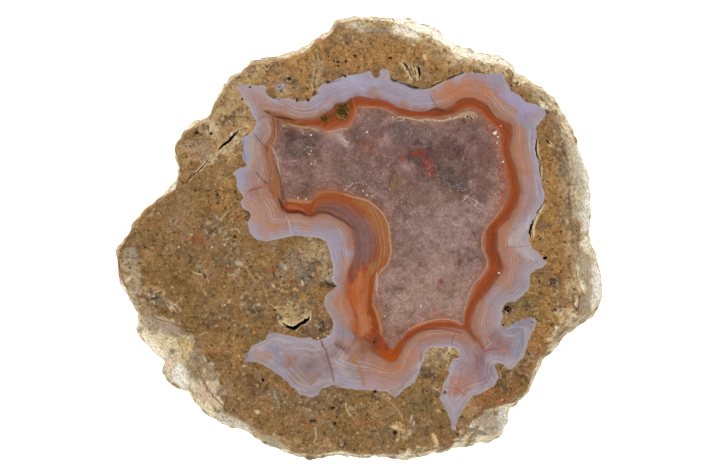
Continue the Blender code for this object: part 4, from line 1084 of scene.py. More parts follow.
# Tints in the quartz: dark and purple clouds, pale lilac, and specks of iron.
QUARTZ_STAINS = [
    ((80, 59, 56), 0.9, 15, [(287, 138), (306, 144)]), ((112, 88, 84), 0.7, 14, [(330, 150), (360, 140)]),
    ((84, 61, 58), 0.9, 24, [(428, 156), (462, 166)]), ((140, 108, 96), 0.6, 16, [(312, 175), (330, 165)]),
    ((118, 94, 88), 0.6, 18, [(390, 200), (420, 190)]), ((124, 94, 88), 0.6, 12, [(480, 200)]),
    ((158, 131, 124), 0.85, 22, [(430, 232), (460, 235)]),
    ((174, 145, 132), 0.9, 26, [(420, 290), (450, 300)]),
    ((168, 138, 126), 0.6, 16, [(400, 310), (440, 312)]), ((150, 122, 116), 0.6, 14, [(400, 260)]),
    ((146, 112, 100), 0.5, 10, [(492, 150), (496, 185)]),
    ((128, 100, 98), 0.6, 14, [(460, 125), (410, 130)]),
    ((162, 136, 130), 0.8, 26, [(440, 228), (470, 226)]),
    ((168, 138, 126), 0.9, 30, [(415, 290), (440, 300)]), ((140, 116, 106), 0.7, 16, [(402, 250)]),
    ((98, 86, 88), 0.8, 9, [(398, 128), (404, 138)]), ((112, 100, 94), 0.6, 9, [(420, 132), (430, 138)]),
    ((96, 70, 70), 0.8, 10, [(438, 146), (444, 158)]), ((128, 112, 96), 0.7, 6, [(448, 164), (456, 168)]),
    ((80, 74, 72), 1.0, 9, [(444, 176), (456, 182)]), ((126, 108, 90), 0.7, 9, [(428, 200), (432, 216)]),
    ((120, 92, 72), 0.7, 8, [(452, 196)]), ((108, 74, 66), 0.75, 11, [(480, 146), (484, 158)]),
    ((120, 88, 78), 0.6, 9, [(480, 176)]), ((164, 128, 116), 0.8, 7, [(498, 190), (496, 206), (486, 222)]),
    ((166, 140, 136), 0.6, 5, [(470, 204), (482, 210)]), ((88, 72, 72), 0.8, 6, [(296, 146), (299, 158)]),
    ((84, 72, 72), 0.7, 6, [(300, 132), (312, 134)]), ((138, 110, 98), 0.7, 9, [(322, 154)]),
    ((158, 138, 138), 0.7, 4.5, [(332, 133), (344, 143)]),
    ((112, 72, 68), 0.7, 8, [(376, 142), (380, 150)]), ((122, 112, 104), 0.6, 8, [(350, 170), (346, 178)]),
    ((150, 124, 114), 0.6, 7, [(284, 174), (296, 178)]),
    ((170, 150, 146), 0.7, 3.5, [(278, 160), (279, 168)]),
    ((118, 84, 62), 0.5, 8, [(300, 192), (330, 190)]),
    ((140, 98, 78), 0.7, 8, [(378, 300), (384, 318), (390, 332)]), ((142, 112, 100), 0.8, 9, [(452, 286)]),
    ((174, 142, 132), 0.7, 7, [(476, 284), (468, 302), (456, 314)]),
    ((150, 108, 90), 0.6, 5, [(434, 309), (430, 316)]),
    ((176, 132, 118), 0.7, 5, [(408, 328), (428, 318), (450, 316)]), ((148, 54, 40), 0.95, 3, [(402, 158)]),
    ((150, 58, 44), 0.8, 2.2, [(414, 154), (425, 153)]),
    ((150, 56, 44), 0.75, 3.5, [(427, 162), (433, 174)]), ((150, 62, 44), 0.8, 3, [(441, 281)]),
    ((150, 66, 44), 0.8, 2.5, [(433, 309)]), ((160, 110, 50), 0.6, 4, [(386, 168)]),
    ((156, 116, 60), 0.4, 5, [(400, 178), (392, 184)]), ((140, 84, 60), 0.5, 6, [(364, 150), (372, 146)]),
    ((160, 124, 84), 0.6, 5, [(462, 116), (474, 115)]),
    ((176, 146, 120), 0.7, 2.5, [(400, 119), (420, 121), (442, 121), (456, 118)]),
    ((172, 140, 120), 0.6, 2.5, [(290, 127), (312, 129), (324, 134), (338, 133), (350, 128)]),
    ((150, 112, 84), 0.6, 3, [(284, 124), (296, 128)]),
    ((170, 126, 100), 0.6, 2.5, [(392, 345), (404, 334), (424, 325), (450, 323)]),
    ((160, 108, 84), 0.6, 5, [(388, 336), (398, 330)]),
    ((170, 136, 118), 0.5, 3, [(379, 290), (378, 304), (384, 326)]),
    ((150, 108, 92), 0.4, 5, [(486, 282), (474, 300)]),
    ((158, 86, 62), 0.95, 5, [(492, 122), (499, 140), (503, 165), (505, 192), (500, 206)]),
    ((176, 152, 146), 0.9, 4, [(339, 136), (344, 142)]),
    ((184, 148, 138), 0.8, 5, [(468, 284), (474, 296)]), ((150, 78, 56), 0.5, 4, [(488, 128), (494, 136)]),
]

# Where the jasper is peppered with coarse grit: strength, reach in pixels, and course.
PEPPER = [
    (0.8, 1.3, [(396, 119), (420, 121), (440, 121), (456, 117)]), (0.75, 3, [(458, 116), (474, 115)]),
    (0.6, 2, [(284, 126), (300, 128), (322, 130)]), (0.8, 2.5, [(396, 119), (408, 121)]),
    (0.9, 9, [(206, 226), (216, 232), (226, 240), (236, 246)]),
    (0.8, 8, [(150, 288), (160, 300), (168, 306)]), (0.7, 9, [(208, 314), (222, 312)]),
    (0.9, 12, [(274, 276), (286, 290), (300, 300)]), (0.8, 7, [(300, 262), (314, 270)]),
    (0.9, 7, [(315, 330), (322, 336)]), (0.8, 6, [(276, 394), (286, 402)]),
    (0.7, 10, [(300, 400), (330, 400), (348, 408)]), (1.0, 8, [(341, 110)]), (1.0, 6, [(325, 118)]),
    (0.8, 6, [(224, 122), (236, 115)]), (0.7, 6, [(200, 138), (206, 128)]),
    (0.8, 7, [(286, 79), (296, 84)]), (0.9, 8, [(318, 62), (316, 76), (314, 88)]),
    (0.6, 9, [(340, 40), (372, 34), (400, 40)]), (0.7, 8, [(556, 122), (562, 150), (568, 180)]),
    (0.8, 8, [(570, 205), (576, 235)]), (0.7, 8, [(552, 280), (560, 300)]),
    (0.6, 8, [(536, 300), (526, 308)]), (0.8, 6, [(508, 310)]), (0.7, 9, [(440, 362), (428, 372)]),
    (0.7, 8, [(500, 386), (510, 376)]), (0.7, 9, [(525, 356), (516, 372)]),
    (0.6, 8, [(330, 425), (345, 440)]), (0.7, 8, [(396, 432), (372, 432)]),
    (0.6, 8, [(414, 400), (432, 388)]), (0.6, 8, [(520, 78), (540, 96)]), (0.6, 7, [(262, 84), (266, 100)]),
    (0.5, 10, [(222, 262), (238, 266)]), (0.7, 9, [(246, 300), (254, 312)]),
]
# Where the quartz is full of white specks.
WHITE_SPECKS = [
    (0.9, 6, [(304, 132), (310, 150), (312, 164)]), (0.8, 7, [(338, 132), (350, 146)]),
    (1.0, 12, [(346, 186), (375, 184), (396, 196)]), (1.0, 10, [(398, 204), (408, 216), (416, 232)]),
    (1.0, 8, [(434, 172), (446, 184), (458, 190)]), (0.9, 8, [(462, 146), (467, 170), (472, 190)]),
    (0.9, 6, [(466, 196), (482, 206)]), (1.0, 6, [(496, 132), (501, 160), (501, 190), (494, 206)]),
    (0.8, 8, [(412, 128), (424, 142)]), (0.7, 8, [(284, 150), (288, 176), (292, 190)]),
    (0.7, 8, [(360, 150), (376, 160)]), (0.6, 12, [(445, 240), (455, 262)]),
    (0.6, 8, [(300, 190), (330, 184)]), (0.6, 10, [(400, 300), (420, 318)]),
    (0.6, 10, [(384, 280), (390, 300)]),
]
# Where the pale crust reaches in over the face.
CRUST = [
    (1.0, 10, [(345, 17), (373, 15), (405, 19), (436, 30), (450, 40)]),
    (0.9, 9, [(450, 44), (478, 55), (500, 60)]), (0.9, 9, [(515, 74), (534, 86), (556, 104)]),
    (1.0, 7, [(567, 112), (579, 140), (586, 165), (591, 195)]),
    (1.0, 7, [(592, 215), (594, 240), (600, 262)]), (0.9, 12, [(592, 285), (588, 305)]),
    (0.6, 8, [(572, 324), (552, 346)]), (0.9, 12, [(494, 418), (480, 424), (466, 440)]),
    (0.7, 6, [(440, 450), (400, 457)]), (0.5, 5, [(340, 453), (300, 456)]),
    (0.6, 12, [(150, 322), (178, 334), (198, 362), (214, 392)]),
    (0.9, 9, [(280, 446), (240, 426), (206, 398)]), (0.9, 10, [(196, 388), (190, 372), (182, 350)]),
    (0.8, 9, [(176, 334), (150, 324)]), (0.6, 8, [(132, 300), (124, 284), (122, 266)]),
    (0.4, 4, [(134, 232), (160, 202)]), (0.4, 4, [(182, 130), (206, 120), (220, 92), (256, 62)]),
    (0.6, 6, [(280, 57), (308, 50), (328, 34)]),
]

# Stains in the crust where it is seen from above.
RIND_STAINS = [
    ((234, 214, 174), 0.85, 10, [(150, 340), (168, 348)]),
    ((178, 154, 128), 0.9, 7, [(144, 320), (162, 325), (180, 331)]),
    ((206, 182, 126), 0.85, 8, [(182, 342), (192, 352)]),
    ((250, 242, 216), 0.8, 4, [(143, 338), (152, 351), (164, 358)]),
    ((222, 208, 180), 0.8, 12, [(176, 373), (185, 382)]),
    ((255, 253, 240), 0.75, 7, [(176, 373), (185, 382)]), ((236, 196, 166), 0.8, 3, [(167, 366)]),
    ((86, 66, 46), 0.9, 2.5, [(172, 351)]), ((152, 132, 98), 0.85, 9, [(194, 358), (206, 376)]),
    ((214, 187, 154), 0.9, 8, [(201, 391), (212, 403)]),
    ((234, 222, 180), 0.8, 4, [(198, 404), (210, 415)]),
    ((182, 152, 108), 0.7, 8, [(226, 410), (262, 434), (288, 448)]),
    ((226, 218, 196), 0.8, 5, [(222, 418), (246, 430)]),
    ((150, 150, 128), 0.6, 4, [(262, 440), (276, 448)]),
    ((186, 168, 142), 0.8, 10, [(484, 418), (494, 428)]),
    ((228, 222, 208), 0.8, 6, [(504, 412), (500, 432)]),
    ((128, 122, 108), 0.6, 3, [(468, 430), (486, 436)]), ((150, 96, 74), 0.8, 2, [(490, 428)]),
    ((188, 176, 150), 0.8, 6, [(574, 150), (580, 190), (581, 226)]),
    ((232, 225, 208), 0.8, 6, [(585, 150), (590, 190), (590, 226)]),
    ((166, 148, 118), 0.85, 9, [(588, 262), (592, 290), (586, 312)]),
    ((236, 228, 214), 0.7, 6, [(598, 270), (600, 300)]),
    ((170, 150, 120), 0.5, 6, [(576, 322), (556, 342)]),
    ((244, 236, 216), 0.9, 8, [(400, 20), (430, 30), (448, 42)]),
    ((236, 226, 204), 0.8, 8, [(462, 50), (490, 58), (506, 64)]),
    ((168, 148, 116), 0.6, 6, [(530, 84), (546, 98)]),
]

# How strokes taper to their ends, and how their rims and those of small marks soften, in pixels.
THIN_END, STROKE_SPACING, HALF_PX, MARK_REACH = 0.4, 0.0001, 0.5, 1.6
# Where the crust sets in past the sawn edge, in millimetres: everywhere, and on its bare sides.
MOST_CRUST, CRUST_SETS_IN, BARE_SETS_IN = 0.95, (-0.3, 4.2), (-1.5, 2.5)
JASPER_FADES = (1, 4)
EDGE_SPACING = 0.0002
# The crust is stained where it faces up, in the upper part of the stone.
STAINED_FACING, STAINED_LEVELS = (-0.05, 0.35), (0.55 * HEIGHT, 0.8 * HEIGHT)

face_wander = wander_at(face_places)
on_rind = np.array([v.co for v in rind.data.vertices])
rind_plan = on_rind[:, :2]
rind_wander = wander_at(rind_plan)
for name, edge in (("in_agate", AGATE_EDGE_PX), ("in_red_band", RED_BAND_EDGE_PX),
                   ("in_quartz", QUARTZ_EDGE_PX), ("in_tongue_core", TONGUE_CORE_PX)):
    add_value(sheet, name, "FLOAT", depth_inside(edge, face_places))
    add_value(rind.data, name, "FLOAT", np.full(len(on_rind), -FAR_OFF))
for name, stains in (("jasper_stain", JASPER_STAINS), ("band_stain", BAND_STAINS), ("red_stain", RED_STAINS),
                     ("quartz_stain", QUARTZ_STAINS), ("crust_stain", RIND_STAINS)):
    add_value(sheet, name, "FLOAT_COLOR", stained(face_places, face_wander, stains))
scattered = [covered(face_places, face_wander, courses) for courses in (PEPPER, WHITE_SPECKS, CRUST)]
add_value(sheet, "scattered", "FLOAT_VECTOR", np.stack(scattered, 1))

sawn_line = nearest([curve_through(FACE_PX, EDGE_SPACING, closed=True)])
past_edge = (distances(sawn_line, rind_plan) + HEIGHT - on_rind[:, 2]) / MILLIMETRE
bare_side = covered(rind_plan, rind_wander, CRUST) * smooth_step(past_edge, *BARE_SETS_IN)
rind_crust = np.maximum(MOST_CRUST * smooth_step(past_edge, *CRUST_SETS_IN), bare_side)
rind_crust = np.where(on_rind[:, 2] < A_HAIR, 0.0, rind_crust)
none = np.zeros(len(on_rind))
add_value(rind.data, "scattered", "FLOAT_VECTOR", np.stack([none, none, rind_crust], 1))
near_edge = 1 - smooth_step(past_edge, *JASPER_FADES)
facing_up = np.array([v.normal.z for v in rind.data.vertices])
upper = smooth_step(facing_up, *STAINED_FACING) * smooth_step(on_rind[:, 2], *STAINED_LEVELS)
for name, stains, share in (("jasper_stain", JASPER_STAINS, near_edge), ("crust_stain", RIND_STAINS, upper)):
    add_value(rind.data, name, "FLOAT_COLOR", stained(rind_plan, rind_wander, stains) * share[:, None])
for name in ("band_stain", "red_stain", "quartz_stain", "drawn"):
    add_value(rind.data, name, "FLOAT_COLOR", np.zeros((len(on_rind), 4)))

drawn = np.zeros((len(face_places), 4))
for colour, width, strength, course in STRANDS:
    line = curve_through(course, STROKE_SPACING)
    reach = (width / 2 + HALF_PX) * PIXEL
    near = (face_places > line.min(axis=0) - reach) & (face_places < line.max(axis=0) + reach)
    found = np.flatnonzero(near.all(axis=1))
    apart = np.linalg.norm(face_places[found, None] - line[None], axis=2)
    along = apart.argmin(axis=1) / (len(line) - 1)
    tapered = width / 2 * (THIN_END + (1 - THIN_END) * np.abs(np.sin(math.pi * along)) ** 0.5)
    softness = max(1.0, width * SOFT_SHARE)
    cover = strength * np.clip((tapered + HALF_PX - apart.min(axis=1) / PIXEL) / softness, 0, 1)
    drawn[found] = laid_over(drawn[found], colour, cover[:, None])
by_place = nearest([face_places])
for seed, (colour, radius, middle) in enumerate(marks):
    for place, i, far in by_place.find_range((*middle, 0), radius * MARK_REACH + PIXEL):
        turn = math.atan2(place[1] - middle[1], place[0] - middle[0])
        cover = np.clip((radius * wobble(turn, seed) + 0.25 * PIXEL - far) / (HALF_PX * PIXEL), 0, 1)
        drawn[i] = laid_over(drawn[i], colour, cover)
add_value(sheet, "drawn", "FLOAT_COLOR", drawn)


def off_lines(courses):
    """How far each place on the face lies from the nearest of the lines, in millimetres."""
    finder = nearest([curve_through(course, LOOP_SPACING) for course in courses])
    return distances(finder, face_places) / MILLIMETRE


add_value(sheet, "off_scratch", "FLOAT", off_lines(SCRATCHES))
hairlines = [off_lines(courses) for courses in (DARK_HAIRLINES, PALE_HAIRLINES, RUST_HAIRLINES)]
add_value(sheet, "hairlines", "FLOAT_VECTOR", np.stack(hairlines, 1))
add_value(rind.data, "off_scratch", "FLOAT", np.full(len(on_rind), FAR_OFF))
add_value(rind.data, "hairlines", "FLOAT_VECTOR", np.full((len(on_rind), 3), FAR_OFF))


# The polished face's finish: what each part of the pattern is made of, under one high polish.

def node(tree, kind, plugs=None, **settings):
    """A shader node with its settings, and with values or other nodes' sockets in its plugs."""
    made = tree.nodes.new(kind)
    for name, value in settings.items():
        setattr(made, name, value)
    for name, value in (plugs or {}).items():
        if isinstance(value, bpy.types.NodeSocket):
            tree.links.new(value, made.inputs[name])
        else:
            made.inputs[name].default_value = value
    return made


def calc(tree, operation, *values, clamp=False):
    plugs = dict(enumerate(values))
    return node(tree, "ShaderNodeMath", plugs, operation=operation, use_clamp=clamp).outputs[0]


def times(tree, *values, clamp=False):
    return calc(tree, "MULTIPLY", *values, clamp=clamp)


def scaled(tree, value, by, plus, clamp=False):
    """The value times by, and plus added."""
    return calc(tree, "MULTIPLY_ADD", value, by, plus, clamp=clamp)


def step(tree, value, low, high):
    """0 below low, 1 above high, and a soft rise between them; it falls where low is the higher."""
    plugs = {"Value": value, "From Min": low, "From Max": high}
    return node(tree, "ShaderNodeMapRange", plugs, interpolation_type="SMOOTHSTEP").outputs[0]


def mix(tree, share, under, over, way="MIX"):
    colours = [(*linear(c), 1.0) if isinstance(c, tuple) else c for c in (under, over)]
    plugs = {0: share, 6: colours[0], 7: colours[1]}
    return node(tree, "ShaderNodeMix", plugs, data_type="RGBA", blend_type=way).outputs[2]


def ramp(tree, share, *stops):
    """Colours along a share from 0 to 1, given as pairs of place and colour."""
    made = node(tree, "ShaderNodeValToRGB", {0: share})
    scale = made.color_ramp.elements
    while len(scale) < len(stops):
        scale.new(0.5)
    for element, (place, colour) in zip(scale, stops):
        element.position = place
        element.color = (*linear(colour), 1.0)
    return made.outputs[0]


def grain(tree, place, breadth, detail=3.0, roughness=0.5, warp=0.0):
    """Noise from 0 to 1 with rises of about the breadth, in millimetres."""
    plugs = {"Vector": place, "Scale": 1 / breadth, "Detail": detail, "Roughness": roughness}
    return node(tree, "ShaderNodeTexNoise", {**plugs, "Distortion": warp}).outputs[0]


def lines_along(tree, distance, breadth, detail=2.0):
    """Noise from 0 to 1 that changes with the distance only, so that it draws bands."""
    plugs = {"W": distance, "Scale": 1 / breadth, "Detail": detail}
    return node(tree, "ShaderNodeTexNoise", plugs, noise_dimensions="1D").outputs[0]


def cells(tree, place, breadth, feature="F1", **plugs):
    """Cells of about the breadth, in millimetres, each with tints of its own."""
    plugs = {**plugs, "Vector": place, "Scale": 1 / breadth}
    return node(tree, "ShaderNodeTexVoronoi", plugs, feature=feature)


def layer_of(tree, name):
    return node(tree, "ShaderNodeAttribute", attribute_name=name)


def value_of(tree, name):
    return layer_of(tree, name).outputs["Fac"]


def parts_of(tree, vector):
    return node(tree, "ShaderNodeSeparateXYZ", {0: vector}).outputs


def tints_of(tree, made):
    """Three numbers from 0 to 1 that differ from cell to cell."""
    return parts_of(tree, made.outputs["Color"])


def full_colour(tree, layer):
    """A layer's colour as it is where the layer covers all."""
    whole = calc(tree, "DIVIDE", 1.0, calc(tree, "MAXIMUM", layer.outputs["Alpha"], 0.01))
    plugs = {0: layer.outputs["Color"], "Scale": whole}
    return node(tree, "ShaderNodeVectorMath", plugs, operation="SCALE").outputs[0]


def shade(tree, colour, share, low, high, evenly=(0.85, 1.0, 1.2)):
    """The colour made darker where share is 0 (times low) and lighter where it is 1 (times high)."""
    plugs = {"Value": share, "To Min": low - 1, "To Max": high - 1}
    more = node(tree, "ShaderNodeMapRange", plugs).outputs[0]
    plugs = {0: more, 1: evenly, 2: (1.0, 1.0, 1.0)}
    factor = node(tree, "ShaderNodeVectorMath", plugs, operation="MULTIPLY_ADD").outputs[0]
    return mix(tree, 1.0, colour, factor, "MULTIPLY")


def ragged(tree, cover, noise_share, low=0.26, high=0.58):
    """The cover with ragged edges, and broken up where it is thin."""
    return step(tree, times(tree, cover, scaled(tree, noise_share, 1.6, 0.2)), low, high)


# How the noise thins a layer of stains that isn't ragged: the noise times the first, plus the second.
CLOUDY, EVEN = (2.2, -0.15), (0.7, 0.6)


def stain_over(tree, colour, name, noise_share, thinning=None):
    """The colour under a layer of stains, ragged at their edges unless they are thinned by the noise."""
    layer = layer_of(tree, name)
    cover = layer.outputs["Alpha"]
    if thinning:
        share = times(tree, cover, scaled(tree, noise_share, *thinning), clamp=True)
    else:
        share = times(tree, ragged(tree, cover, noise_share), 0.9)
    return mix(tree, share, colour, full_colour(tree, layer))


def moved(tree, spot, breadth, reach):
    """The place moved about by noise, so that what is drawn there has wavering edges."""
    plugs = {"Vector": spot, "Scale": 1 / breadth, "Detail": 2.0}
    push = node(tree, "ShaderNodeTexNoise", plugs).outputs["Color"]
    plugs = {0: push, 1: (reach, reach, reach), 2: spot}
    return node(tree, "ShaderNodeVectorMath", plugs, operation="MULTIPLY_ADD").outputs[0]


def flecked(tree, colour, flecks, kind, chance, reach, cover, hue):
    """The colour with small specks, at most one to a cell, in the cells that chance and kind pick."""
    chosen = step(tree, calc(tree, "ADD", chance, kind), 0.93, 0.98)
    fleck = times(tree, step(tree, flecks.outputs["Distance"], reach, reach * 0.6), chosen)
    return mix(tree, times(tree, fleck, cover), colour, hue)


def crusted_jasper(tree, spot, fine, finest):
    """Jasper, mottled and full of clasts, seams and grit, with the pale crust where it reaches."""
    wavering = moved(tree, spot, 1.5, 1.6)
    mottle = grain(tree, spot, 7.0, 5.0, 0.6, 0.6)
    jasper = ramp(tree, mottle, (0.30, (112, 84, 50)), (0.43, (128, 97, 58)), (0.52, (138, 104, 64)),
                  (0.62, (150, 113, 72)), (0.74, (160, 126, 86)))
    clasts = cells(tree, wavering, 2.6)
    clast = tints_of(tree, clasts)
    tint = ramp(tree, clast[0], (0.0, (112, 84, 50)), (0.2, (142, 106, 58)), (0.4, (136, 106, 76)),
                (0.6, (126, 96, 52)), (0.8, (150, 112, 70)), (1.0, (146, 118, 92)))
    jasper = mix(tree, 0.5, jasper, tint)
    rusty = times(tree, step(tree, grain(tree, spot, 2.4, 4.0, 0.6, 0.8), 0.56, 0.70), 0.7)
    jasper = mix(tree, rusty, jasper, (146, 92, 44))
    blots = grain(tree, spot, 1.1, 4.0, 0.6, 0.4)
    jasper = stain_over(tree, jasper, "jasper_stain", blots)
    seam = cells(tree, wavering, 2.6, "DISTANCE_TO_EDGE").outputs["Distance"]
    seam = times(tree, step(tree, seam, 0.07, 0.01), step(tree, grain(tree, spot, 3.0), 0.46, 0.58))
    jasper = mix(tree, times(tree, seam, 0.55), jasper, (84, 58, 34))
    greyer = (0.75, 1.0, 1.45)
    grit = cells(tree, moved(tree, spot, 0.6, 0.5), 0.62)
    jasper = shade(tree, jasper, tints_of(tree, grit)[1], 0.86, 1.16, greyer)
    sand = cells(tree, spot, 0.40)
    jasper = shade(tree, jasper, tints_of(tree, sand)[0], 0.74, 1.28, greyer)
    jasper = shade(tree, jasper, fine, 0.66, 1.43, greyer)
    jasper = shade(tree, jasper, finest, 0.30, 1.72, greyer)
    scattered = parts_of(tree, layer_of(tree, "scattered").outputs["Vector"])
    busy = times(tree, step(tree, grain(tree, spot, 2.2, 4.0, 0.6), 0.42, 0.68), 0.36)
    busy = scaled(tree, scattered[0], 0.22, busy)
    rarer = calc(tree, "SUBTRACT", busy, 0.035)
    for gap, reach, cover in ((0.86, 0.46, 0.85), (0.50, 0.44, 0.75)):
        flecks = cells(tree, moved(tree, spot, 0.40, 0.62), gap)
        kind = tints_of(tree, flecks)
        jasper = flecked(tree, jasper, flecks, kind[0], busy, reach, cover, (62, 46, 32))
        jasper = flecked(tree, jasper, flecks, kind[1], rarer, reach * 0.85, cover * 0.9, (206, 172, 124))
        jasper = flecked(tree, jasper, flecks, kind[2], busy, reach, cover * 0.7, (104, 76, 44))
    lumps = cells(tree, moved(tree, spot, 0.5, 0.35), 0.62)
    lump_light = scaled(tree, tints_of(tree, lumps)[0], 0.6, 0.2)
    lump_light = calc(tree, "SUBTRACT", lump_light, times(tree, lumps.outputs["Distance"], 0.5))
    lump_light = calc(tree, "ADD", lump_light, scaled(tree, finest, 0.6, -0.2))
    pepper = ramp(tree, lump_light, (0.05, (62, 46, 30)), (0.25, (112, 86, 54)), (0.45, (144, 112, 74)),
                  (0.6, (176, 146, 102)), (0.85, (216, 194, 156)))
    pepper = mix(tree, times(tree, clast[2], 0.4), pepper, (136, 118, 96))
    at_large = times(tree, step(tree, grain(tree, spot, 3.6, 3.0, 0.6), 0.54, 0.74), 0.7)
    peppered = calc(tree, "MAXIMUM", ragged(tree, times(tree, scattered[0], 0.85), blots), at_large)
    jasper = mix(tree, times(tree, peppered, 0.7), jasper, pepper)
    specks = grain(tree, spot, 0.42, 1.0, 0.4)
    jasper = mix(tree, times(tree, step(tree, specks, 0.72, 0.82), 0.5), jasper, (204, 168, 116))
    jasper = mix(tree, times(tree, step(tree, specks, 0.28, 0.22), 0.7), jasper, (72, 50, 32))
    patches = grain(tree, spot, 2.6, 5.0, 0.65, 0.4)
    crust = ramp(tree, patches, (0.34, (126, 102, 66)), (0.42, (164, 140, 100)), (0.50, (202, 182, 144)),
                 (0.58, (222, 206, 174)), (0.68, (238, 228, 204)))
    crust = stain_over(tree, crust, "crust_stain", blots)
    crust = shade(tree, crust, tints_of(tree, sand)[1], 0.76, 1.24)
    crust = shade(tree, crust, fine, 0.58, 1.42)
    crust = shade(tree, crust, finest, 0.66, 1.34)
    crust = flecked(tree, crust, flecks, kind[2], calc(tree, "ADD", busy, 0.06), 0.5, 0.6, (112, 90, 62))
    crust = flecked(tree, crust, grit, tints_of(tree, grit)[0], busy, 0.5, 0.6, (96, 76, 52))
    crust = mix(tree, times(tree, step(tree, specks, 0.32, 0.24), 0.6), crust, (104, 82, 60))
    return mix(tree, times(tree, ragged(tree, scattered[2], patches, 0.3, 0.75), 0.95), jasper, crust)


def new_finish(name):
    """A finish, its tree of nodes, its shader, and the place on the stone in millimetres."""
    made = bpy.data.materials.new(name)
    made.use_nodes = True
    tree = made.node_tree
    plugs = {0: node(tree, "ShaderNodeTexCoord").outputs["Object"], "Scale": 1 / MILLIMETRE}
    spot = node(tree, "ShaderNodeVectorMath", plugs, operation="SCALE").outputs[0]
    return made, tree, tree.nodes["Principled BSDF"], spot


polish, tree, shader, spot = new_finish("polished_agate_and_jasper")
fine = grain(tree, spot, 0.55, 4.0, 0.6)
finest = grain(tree, spot, 0.24, 2.0, 0.6)
ruffle = scaled(tree, grain(tree, spot, 1.3, 4.0, 0.6), 0.7, -0.35)

in_agate = calc(tree, "ADD", value_of(tree, "in_agate"), ruffle)
in_red = value_of(tree, "in_red_band")
in_quartz = value_of(tree, "in_quartz")
agate_share = step(tree, in_agate, -0.08, 0.08)
red_share = step(tree, scaled(tree, ruffle, 0.4, in_red), -0.2, 0.2)
quartz_share = step(tree, scaled(tree, ruffle, 0.9, in_quartz), -0.2, 0.15)

# Jasper: clay and iron set hard.
jasper = crusted_jasper(tree, spot, fine, finest)

# Chalcedony bands, laid one on another from the wall of the hollow.
out_of_red = calc(tree, "MAXIMUM", times(tree, in_red, -1.0), 0.05)
on_wall = calc(tree, "MAXIMUM", in_agate, 0.0)
across = calc(tree, "DIVIDE", on_wall, calc(tree, "ADD", on_wall, out_of_red))
bands = ramp(tree, across, (0.0, (148, 136, 140)), (0.06, (170, 156, 160)), (0.25, (160, 142, 146)),
             (0.50, (161, 134, 130)), (0.75, (163, 127, 112)), (0.92, (158, 112, 92)), (1.0, (138, 86, 64)))
soft_noise = grain(tree, spot, 2.0, 3.0)
bands = stain_over(tree, bands, "band_stain", soft_noise, EVEN)
drift = scaled(tree, grain(tree, spot, 5.0, 3.0), 1.1, times(tree, on_wall, 0.4))
drift = scaled(tree, across, 4.5, drift)
bands = shade(tree, bands, lines_along(tree, drift, 1.1, 2.0), 0.80, 1.20)
bands = shade(tree, bands, lines_along(tree, drift, 0.32, 1.0), 0.80, 1.20)
pale_lines = step(tree, lines_along(tree, calc(tree, "ADD", drift, 40.0), 0.5, 1.0), 0.56, 0.72)
pale_lines = times(tree, pale_lines, step(tree, grain(tree, spot, 3.0, 3.0, 0.6), 0.44, 0.64))
bands = mix(tree, times(tree, pale_lines, 0.30), bands, (206, 192, 188))
edge_line = times(tree, step(tree, on_wall, 0.42, 0.18), step(tree, soft_noise, 0.36, 0.56))
bands = mix(tree, times(tree, edge_line, 0.5), bands, (188, 178, 180))
bands = shade(tree, bands, grain(tree, spot, 2.6, 4.0, 0.6), 0.86, 1.14)
bands = shade(tree, bands, fine, 0.86, 1.14)
bands = shade(tree, bands, finest, 0.88, 1.12)

# The orange-red band, whose own fine lines run along it.
in_wall = calc(tree, "MAXIMUM", in_red, 0.0)
to_quartz = calc(tree, "MAXIMUM", times(tree, in_quartz, -1.0), 0.02)
across_red = calc(tree, "DIVIDE", in_wall, calc(tree, "ADD", in_wall, to_quartz))
red = ramp(tree, across_red, (0.0, (126, 78, 62)), (0.12, (140, 78, 54)), (0.35, (147, 75, 45)),
           (0.60, (150, 75, 42)), (0.82, (157, 86, 54)), (1.0, (168, 108, 84)))
red = stain_over(tree, red, "red_stain", grain(tree, spot, 1.6, 3.0), EVEN)
core = step(tree, value_of(tree, "in_tongue_core"), -1.4, 1.2)
red = mix(tree, core, red, (130, 95, 90))
along_red = scaled(tree, grain(tree, spot, 5.0), 0.5, in_wall)
red = shade(tree, red, lines_along(tree, along_red, 0.40, 3.0), 0.56, 1.42)
red = shade(tree, red, lines_along(tree, calc(tree, "ADD", along_red, 30.0), 1.1, 2.0), 0.78, 1.22)
red = shade(tree, red, grain(tree, spot, 1.1, 3.0, 0.6), 0.82, 1.18)
red = shade(tree, red, fine, 0.82, 1.18)
red = shade(tree, red, finest, 0.84, 1.16)

# Quartz: clear crystals grown into one another, clouded purple-grey, with white flaws.
cloud = grain(tree, spot, 5.0, 5.0, 0.65, 0.5)
quartz = ramp(tree, cloud, (0.34, (86, 64, 60)), (0.46, (119, 91, 84)), (0.54, (141, 111, 103)),
              (0.68, (178, 150, 142)))
quartz = stain_over(tree, quartz, "quartz_stain", grain(tree, spot, 1.6, 4.0, 0.6), CLOUDY)
grains = cells(tree, moved(tree, spot, 0.7, 1.1), 2.8, "SMOOTH_F1", Smoothness=0.35)
grain_tint = ramp(tree, tints_of(tree, grains)[0], (0.1, (100, 76, 72)), (0.35, (124, 92, 78)),
                  (0.5, (138, 106, 100)), (0.65, (122, 100, 84)), (0.9, (152, 120, 114)))
quartz = mix(tree, 0.28, quartz, grain_tint)
into = scaled(tree, grain(tree, spot, 1.5, 4.0, 0.6), -4.0, calc(tree, "ADD", in_quartz, 2.0))
quartz = mix(tree, times(tree, step(tree, into, 2.2, -0.3), 0.75), quartz, (146, 100, 82))
crystals = cells(tree, moved(tree, spot, 0.8, 0.9), 0.9)
quartz = shade(tree, quartz, tints_of(tree, crystals)[0], 0.87, 1.12)
sand = cells(tree, spot, 0.34)
quartz = shade(tree, quartz, tints_of(tree, sand)[0], 0.86, 1.15)
